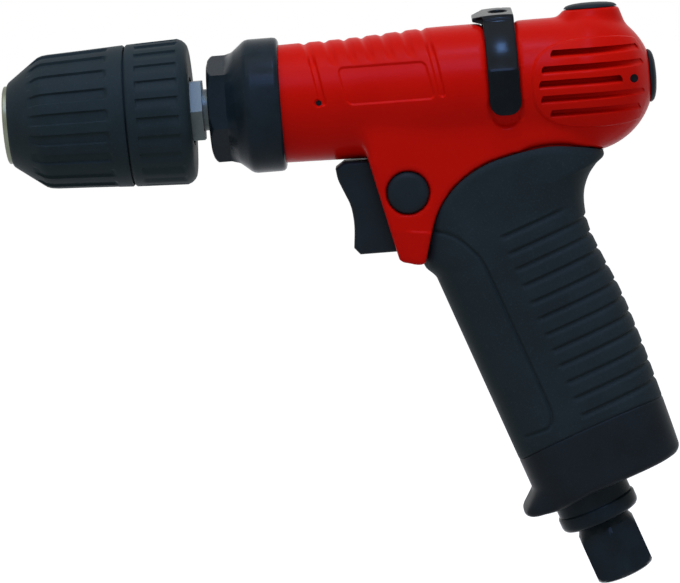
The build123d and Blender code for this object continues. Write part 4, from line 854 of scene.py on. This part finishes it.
# Chuck: fluted front sleeve that turns, toothed rear sleeve that stays with the body
frontSleeve = {
    "outer": ((-6.0, 11.65), (-6.0, 11.95), (-5.75, 12.3), (-5.2, 12.75), (2.4, 18.3), (3.3, 18.9), (4.5, 19.32),
              (6.0, 19.5), (16.0, 19.95), (28.0, 20.55), (28.4, 20.2)),
    "inner": ((28.4, 18.9), (18.5, 18.9), (18.5, 15.55), (11.5, 15.55), (11.5, 11.65)),
    "flutes": 20, "turn": 14.0, "depth": 0.65, "half": 0.5, "walls": (1.08, 0.86), "zone": (-5.0, 27.0),
    "start": (0.2, 2.3), "end": 24.0, "endRound": 0.7, "endSlope": 0.6, "skin": 0.3, "row": 0.5, "around": 320,
}
land = frontSleeve["outer"][3:]  # the face that the flutes are cut in
bm = turned([*divided(frontSleeve["outer"], frontSleeve["row"]), *frontSleeve["inner"]], frontSleeve["around"])
zoneFrom, zoneTo = frontSleeve["zone"]
pitch = 2 * pi / frontSleeve["flutes"]
for v in bm.verts:
    x, r = v.co.x, hypot(v.co.y, v.co.z)
    if zoneFrom < x < zoneTo and r > alongLine(land, x) - frontSleeve["skin"]:
        around = (atan2(v.co.z, v.co.y) - radians(frontSleeve["turn"])) / pitch
        across = abs((around + 0.5) % 1 - 0.5) / (frontSleeve["half"] / 2)
        end = frontSleeve["end"] - frontSleeve["endRound"] * (1 - sqrt(max(1 - across * across, 0)))
        sink = frontSleeve["depth"] * smoothStep(*frontSleeve["walls"], across)
        sink *= smoothStep(end, end - frontSleeve["endSlope"], x) * smoothStep(*frontSleeve["start"], x)
        drawIn(v, 1 - sink / r)
placePiece(bm, "chuck_front_sleeve_moulding", "chuck_sleeve", "chuck_polymer", ["chuck_front_sleeve"], sharp=45)

rearSleeve = {
    "outer": ((26.0, 18.6), (26.0, 18.8), (28.9, 18.8), (28.9, 20.25), (29.3, 20.6), (30.5, 20.66), (44.0, 21.15),
              (45.2, 20.65), (46.1, 19.85), (46.6, 19.1), (46.8, 18.3)),
    "inner": ((46.8, 9.95), (45.5, 9.95), (45.5, 18.6)),
    "teeth": 24, "depth": 0.6, "ramp": 0.7, "wall": 0.1,  # sharp on one side, running out on the other
    "start": (31.7, 32.2), "end": (44.2, 43.7), "zone": (30.0, 44.3), "inside": 19.5, "row": 0.4, "around": 384,
}
bm = turned([*divided(rearSleeve["outer"], rearSleeve["row"]), *rearSleeve["inner"]], rearSleeve["around"])
zoneFrom, zoneTo = rearSleeve["zone"]
pitch = 2 * pi / rearSleeve["teeth"]
for v in bm.verts:
    x, r = v.co.x, hypot(v.co.y, v.co.z)
    if zoneFrom < x < zoneTo and r > rearSleeve["inside"]:
        across = (atan2(v.co.z, v.co.y) / pitch) % 1 / rearSleeve["ramp"]
        wall = rearSleeve["wall"]
        sink = rearSleeve["depth"] * (smoothStep(0.0, wall, across) - smoothStep(wall, 1.0, across))
        sink *= smoothStep(*rearSleeve["start"], x) * smoothStep(*rearSleeve["end"], x)
        drawIn(v, 1 - sink / r)
placePiece(bm, "chuck_rear_sleeve_moulding", "spindle", "chuck_polymer", ["chuck_rear_sleeve"], sharp=45)

# Chuck body and jaws: the CAD shapes, with the nose drawn back to a short ring
nose = {"from": -6.0, "reach": 0.48,
        "pieces": {"chuck_body": "spindle", "chuck_jaw_1": "jaw_1", "chuck_jaw_2": "jaw_2", "chuck_jaw_3": "jaw_3"}}
for name, body in nose["pieces"].items():
    bm = copyOf(name)
    for v in bm.verts:
        if v.co.x < nose["from"]:
            v.co.x = nose["from"] + (v.co.x - nose["from"]) * nose["reach"]
    placePiece(bm, name + "_ground", body, "chuck_steel", [name], sharp=30)

# Hanger strap: bent strip over the barrel with an eye plate
strap = {
    "at": casting["strapAt"], "half": 4.5, "voxel": 0.3, "crown": 1.0, "tipRound": 3.5, "bendRound": 0.7,
    "eyeAt": 137.1, "eye": (10.0, 30.0, 2.6), "tilt": 0.14, "drop": 1.2,  # the plate is bent down to one side
    "rounds": 3, "rolled": 0.22, "rolledFrom": 18.4,  # edges fall away on the outside
    "outside": ((19.3, -7.6), (19.3, 5.0), (8.2, 21.4), (7.8, 21.9), (7.7, 22.3), (6.6, 23.1)),
    "inside": ((6.0, 20.9), (17.6, 4.4), (17.6, -7.6)),  # (y, z), tip to plate outside and back inside
    "tongue": ((129.6, 22.3), (129.4, 21.7), (129.6, 21.1), (132.9, 20.5), (138.0, 20.5), (138.0, 23.1),
               (132.6, 23.1)), "tongueHalf": 7.0, "taper": ((129.4, 0.5), (132.9, 1.0)),
}
tipZ, bendZ, plateZ = [z for y, z in strap["outside"][:3]]


def crowned(a, b):  # the strip between two bends follows the barrel's round
    a, b = Vector(a), Vector(b)
    out = Vector((abs(b.y - a.y), abs(b.x - a.x))).normalized()
    shares = [i / 16 for i in range(1, 16)]
    return [tuple(a + (b - a) * t + out * strap["crown"] * 4 * t * (1 - t)) for t in shares]


side, inside = list(strap["outside"]), list(strap["inside"])
side[2:2] = crowned(side[1], side[2])
inside[1:1] = crowned(inside[0], inside[1])
outline = side + [(-y, z) for y, z in reversed(side)] + [(-y, z) for y, z in reversed(inside)] + inside
bm = prism(outline, strap["at"] - strap["half"], strap["at"] + strap["half"])
bm.transform(Matrix(((0, 1, 0, 0), (1, 0, 0, 0), (0, 0, 1, 0), (0, 0, 0, 1))))  # the strip's width lies along X
bmesh.ops.recalc_face_normals(bm, faces=bm.faces)
roundEdges(bm, [e for e in bm.edges if all(abs(v.co.z - tipZ) < 0.01 for v in e.verts)
                and abs(e.verts[0].co.y - e.verts[1].co.y) > 1], strap["tipRound"], 8)
roundEdges(bm, [e for e in bm.edges if abs(e.verts[0].co.x - e.verts[1].co.x) > strap["half"]
                and abs(e.verts[0].co.z - bendZ) < 1], strap["bendRound"], 4)
tongue = prism(strap["tongue"], -strap["tongueHalf"], strap["tongueHalf"])
for v in tongue.verts:
    v.co.y *= alongLine(strap["taper"], v.co.x)
bm = worked(bm, [tongue], way="UNION")
for v in bm.verts:
    v.co.z += min(max((v.co.z - bendZ) / (plateZ - bendZ), 0), 1) * (strap["tilt"] * v.co.y - strap["drop"])
bm = worked(bm, [placed(pin(*strap["eye"], 48), standing(strap["eyeAt"]))], voxel=strap["voxel"])
soften(bm, bm.verts[:], strap["rounds"])
for v in bm.verts:
    r = hypot(v.co.y, v.co.z)
    if r > strap["rolledFrom"]:
        edge = min(((v.co.x - strap["at"]) / strap["half"]) ** 2, 1)
        v.co -= Vector((0, v.co.y, v.co.z)) / r * strap["rolled"] * edge
placePiece(bm, "hanger_strap_bent", "housing", "strap_paint", ["hanger_strap"], sharp=60)

# Trigger blade
trigger = {
    "half": 9.0, "top": -17.9, "bottom": -44.8, "overlap": 0.8, "edge": 1.2, "brow": 89.6, "heel": 92.3,
    "finger": ((87.0, -19.6), (87.5, -22.8), (89.0, -26.6), (90.4, -30.1), (91.0, -33.5), (91.1, -37.4),
               (90.6, -42.8)),
}


def triggerBack(z):
    return columnFront(z) + trigger["overlap"]


top, bottom = trigger["top"], trigger["bottom"]
bm = prism([(triggerBack(top), top), (trigger["brow"], top), *curveThrough(trigger["finger"], 6),
            (trigger["heel"], bottom), (triggerBack(bottom), bottom)], -trigger["half"], trigger["half"])
roundEdges(bm, [e for e in bm.edges if abs(e.verts[0].co.y - e.verts[1].co.y) < 0.01
                and not all(abs(v.co.x - triggerBack(v.co.z)) < 0.1 for v in e.verts)], trigger["edge"], 5)
placePiece(bm, "trigger_blade", "trigger", "trigger_plastic", ["trigger"], sharp=40)

# Valve spring, copied from its CAD node and left on no body
low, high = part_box("valve_spring")
placePiece(copyOf("valve_spring"), "valve_spring_coil", "trigger", "bright_steel", ["valve_spring"], sharp=60,
           bend=("housing", low, (high[0], low[1], low[2])))

# Reverse buttons on the ends of the rod
button = {
    "radius": 6.0, "thick": 3.2, "left": (-16.8, -1), "right": (20.3, 1),  # face and side
    "face": ((0.0, 0.0), (2.5, 0.06), (4.2, 0.2), (5.0, 0.42), (5.55, 0.8), (5.88, 1.3), (6.0, 1.9)),
}
for name in ("left", "right"):
    faceY, side = button[name]
    back = faceY - side * button["thick"]
    profile = [(faceY - side * down, r) for r, down in button["face"]] + [(back, button["radius"]), (back, 0)]
    bm = placed(turned(profile, 64), sideways(*casting["button"]))
    node = "reverse_button_" + name
    placePiece(bm, node + "_cap", "reverse", "trigger_plastic", [node])

# Plugs in the boss and the back
plug = {
    "head": ((1.0, 0.0), (0.97, 2.6), (0.86, 4.8), (0.70, 6.2), (0.53, 7.0), (0.32, 7.45), (0.14, 7.63),
             (0.0, 7.7)),
    "thread": 6.2, "length": 7.0, "topHeight": 1.6, "rearHeight": 2.1,
}
bossTop = standing(casting["bossAt"], casting["boss"][-1][0])
backEnd = Matrix.Translation((casting["back"], 0, 0))
for name, place, height in (("top_plug", bossTop, plug["topHeight"]), ("rear_plug", backEnd, plug["rearHeight"])):
    profile = [(x * height, r) for x, r in plug["head"]]
    profile += [(0.0, plug["thread"]), (-plug["length"], plug["thread"]), (-plug["length"], 0)]
    placePiece(placed(turned(profile, 72), place), name + "_head", "housing", "cap_plastic", [name])

# Camera as the photograph was taken
view = {"at": (0.10277, -0.99573, 0.03486), "pitch": 5.2, "yaw": 1.0, "roll": 4.5, "lens": 181.6, "sensor": 36,
        "clipEnd": 100}
pitch, yaw, roll = radians(view["pitch"]), radians(view["yaw"]), radians(view["roll"])
look = Vector((-sin(yaw) * cos(pitch), cos(yaw) * cos(pitch), -sin(pitch)))
level = Vector((cos(yaw), sin(yaw), 0))
upright = level.cross(look)
right = level * cos(roll) - upright * sin(roll)
up = level * sin(roll) + upright * cos(roll)
camera = bpy.data.objects.new("camera", bpy.data.cameras.new("camera"))
camera.data.lens = view["lens"]
camera.data.sensor_width = view["sensor"]
camera.data.sensor_fit = "HORIZONTAL"
camera.data.clip_end = view["clipEnd"]
camera.matrix_world = Matrix((right, up, -look)).transposed().to_4x4()
camera.location = view["at"]
scene.collection.objects.link(camera)
scene.camera = camera


# Floor, world and lamps: white sweep with soft light from above
def directRay(tree):  # 1 for what the camera, a reflection or glass shows
    rays = addNode(tree, "ShaderNodeLightPath")
    direct = rays.outputs["Is Camera Ray"]
    for kind in ("Is Glossy Ray", "Is Transmission Ray"):
        direct = addNode(tree, "ShaderNodeMath", {0: direct, 1: rays.outputs[kind]}, operation="MAXIMUM").outputs[0]
    return direct


studio = {"floorZ": -0.2, "floorHalf": 8.0, "floorColour": "#B8B8B6", "glow": 0.82, "world": 0.40}
bm = bmesh.new()
bmesh.ops.create_grid(bm, x_segments=1, y_segments=1, size=studio["floorHalf"])
bmesh.ops.translate(bm, vec=(0, 0, studio["floorZ"]), verts=bm.verts)
mesh = bpy.data.meshes.new("studio_floor")
bm.to_mesh(mesh)
bm.free()
floor = bpy.data.objects.new("studio_floor", mesh)
scene.collection.objects.link(floor)
paper = bpy.data.materials.new("white_paper_sweep")
paper.use_nodes = True
tree = paper.node_tree
tree.nodes.clear()
glow = addNode(tree, "ShaderNodeMath", {0: directRay(tree), 1: studio["glow"]}, operation="MULTIPLY")
lit = addNode(tree, "ShaderNodeBsdfDiffuse", {"Color": toLinear(studio["floorColour"])})
shine = addNode(tree, "ShaderNodeEmission", {"Strength": glow.outputs[0]})
both = addNode(tree, "ShaderNodeAddShader", {0: lit.outputs[0], 1: shine.outputs[0]})
addNode(tree, "ShaderNodeOutputMaterial", {"Surface": both.outputs[0]})
mesh.materials.append(paper)

world = bpy.data.worlds.new("white_studio")
scene.world = world
world.use_nodes = True
tree = world.node_tree
tree.nodes.clear()
strength = addNode(tree, "ShaderNodeMapRange", {"Value": directRay(tree), "To Min": studio["world"], "To Max": 1.0})
sky = addNode(tree, "ShaderNodeBackground", {"Color": (1, 1, 1, 1), "Strength": strength.outputs[0]})
addNode(tree, "ShaderNodeOutputWorld", {"Surface": sky.outputs[0]})

lamps = {
    "overhead_softbox": {"at": (0.0, -0.35, 1.2), "aim": (0.09, 0, 0), "size": (1.3, 1.0), "power": 6.6,
                         "colour": "#FFFFFF"},
    "blue_window": {"at": (0.14, -0.84, 0.90), "aim": (0.11, 0, 0), "size": (0.36, 0.42), "power": 6.4,
                    "colour": "#8CB0FF"},
    "small_window": {"at": (0.18, -0.335, 1.18), "aim": (0.137, 0, 0), "size": (0.11, 0.12), "power": 3.0,
                     "colour": "#7FB2FF"},
}
for name, lamp in lamps.items():
    data = bpy.data.lights.new(name, "AREA")
    data.shape = "RECTANGLE"
    data.size, data.size_y = lamp["size"]
    data.energy = lamp["power"]
    data.color = toLinear(lamp["colour"])[:3]
    light = bpy.data.objects.new(name, data)
    light.location = lamp["at"]
    light.rotation_euler = (Vector(lamp["aim"]) - Vector(lamp["at"])).to_track_quat("-Z", "Y").to_euler()
    scene.collection.objects.link(light)
print("camera, floor and lamps set")
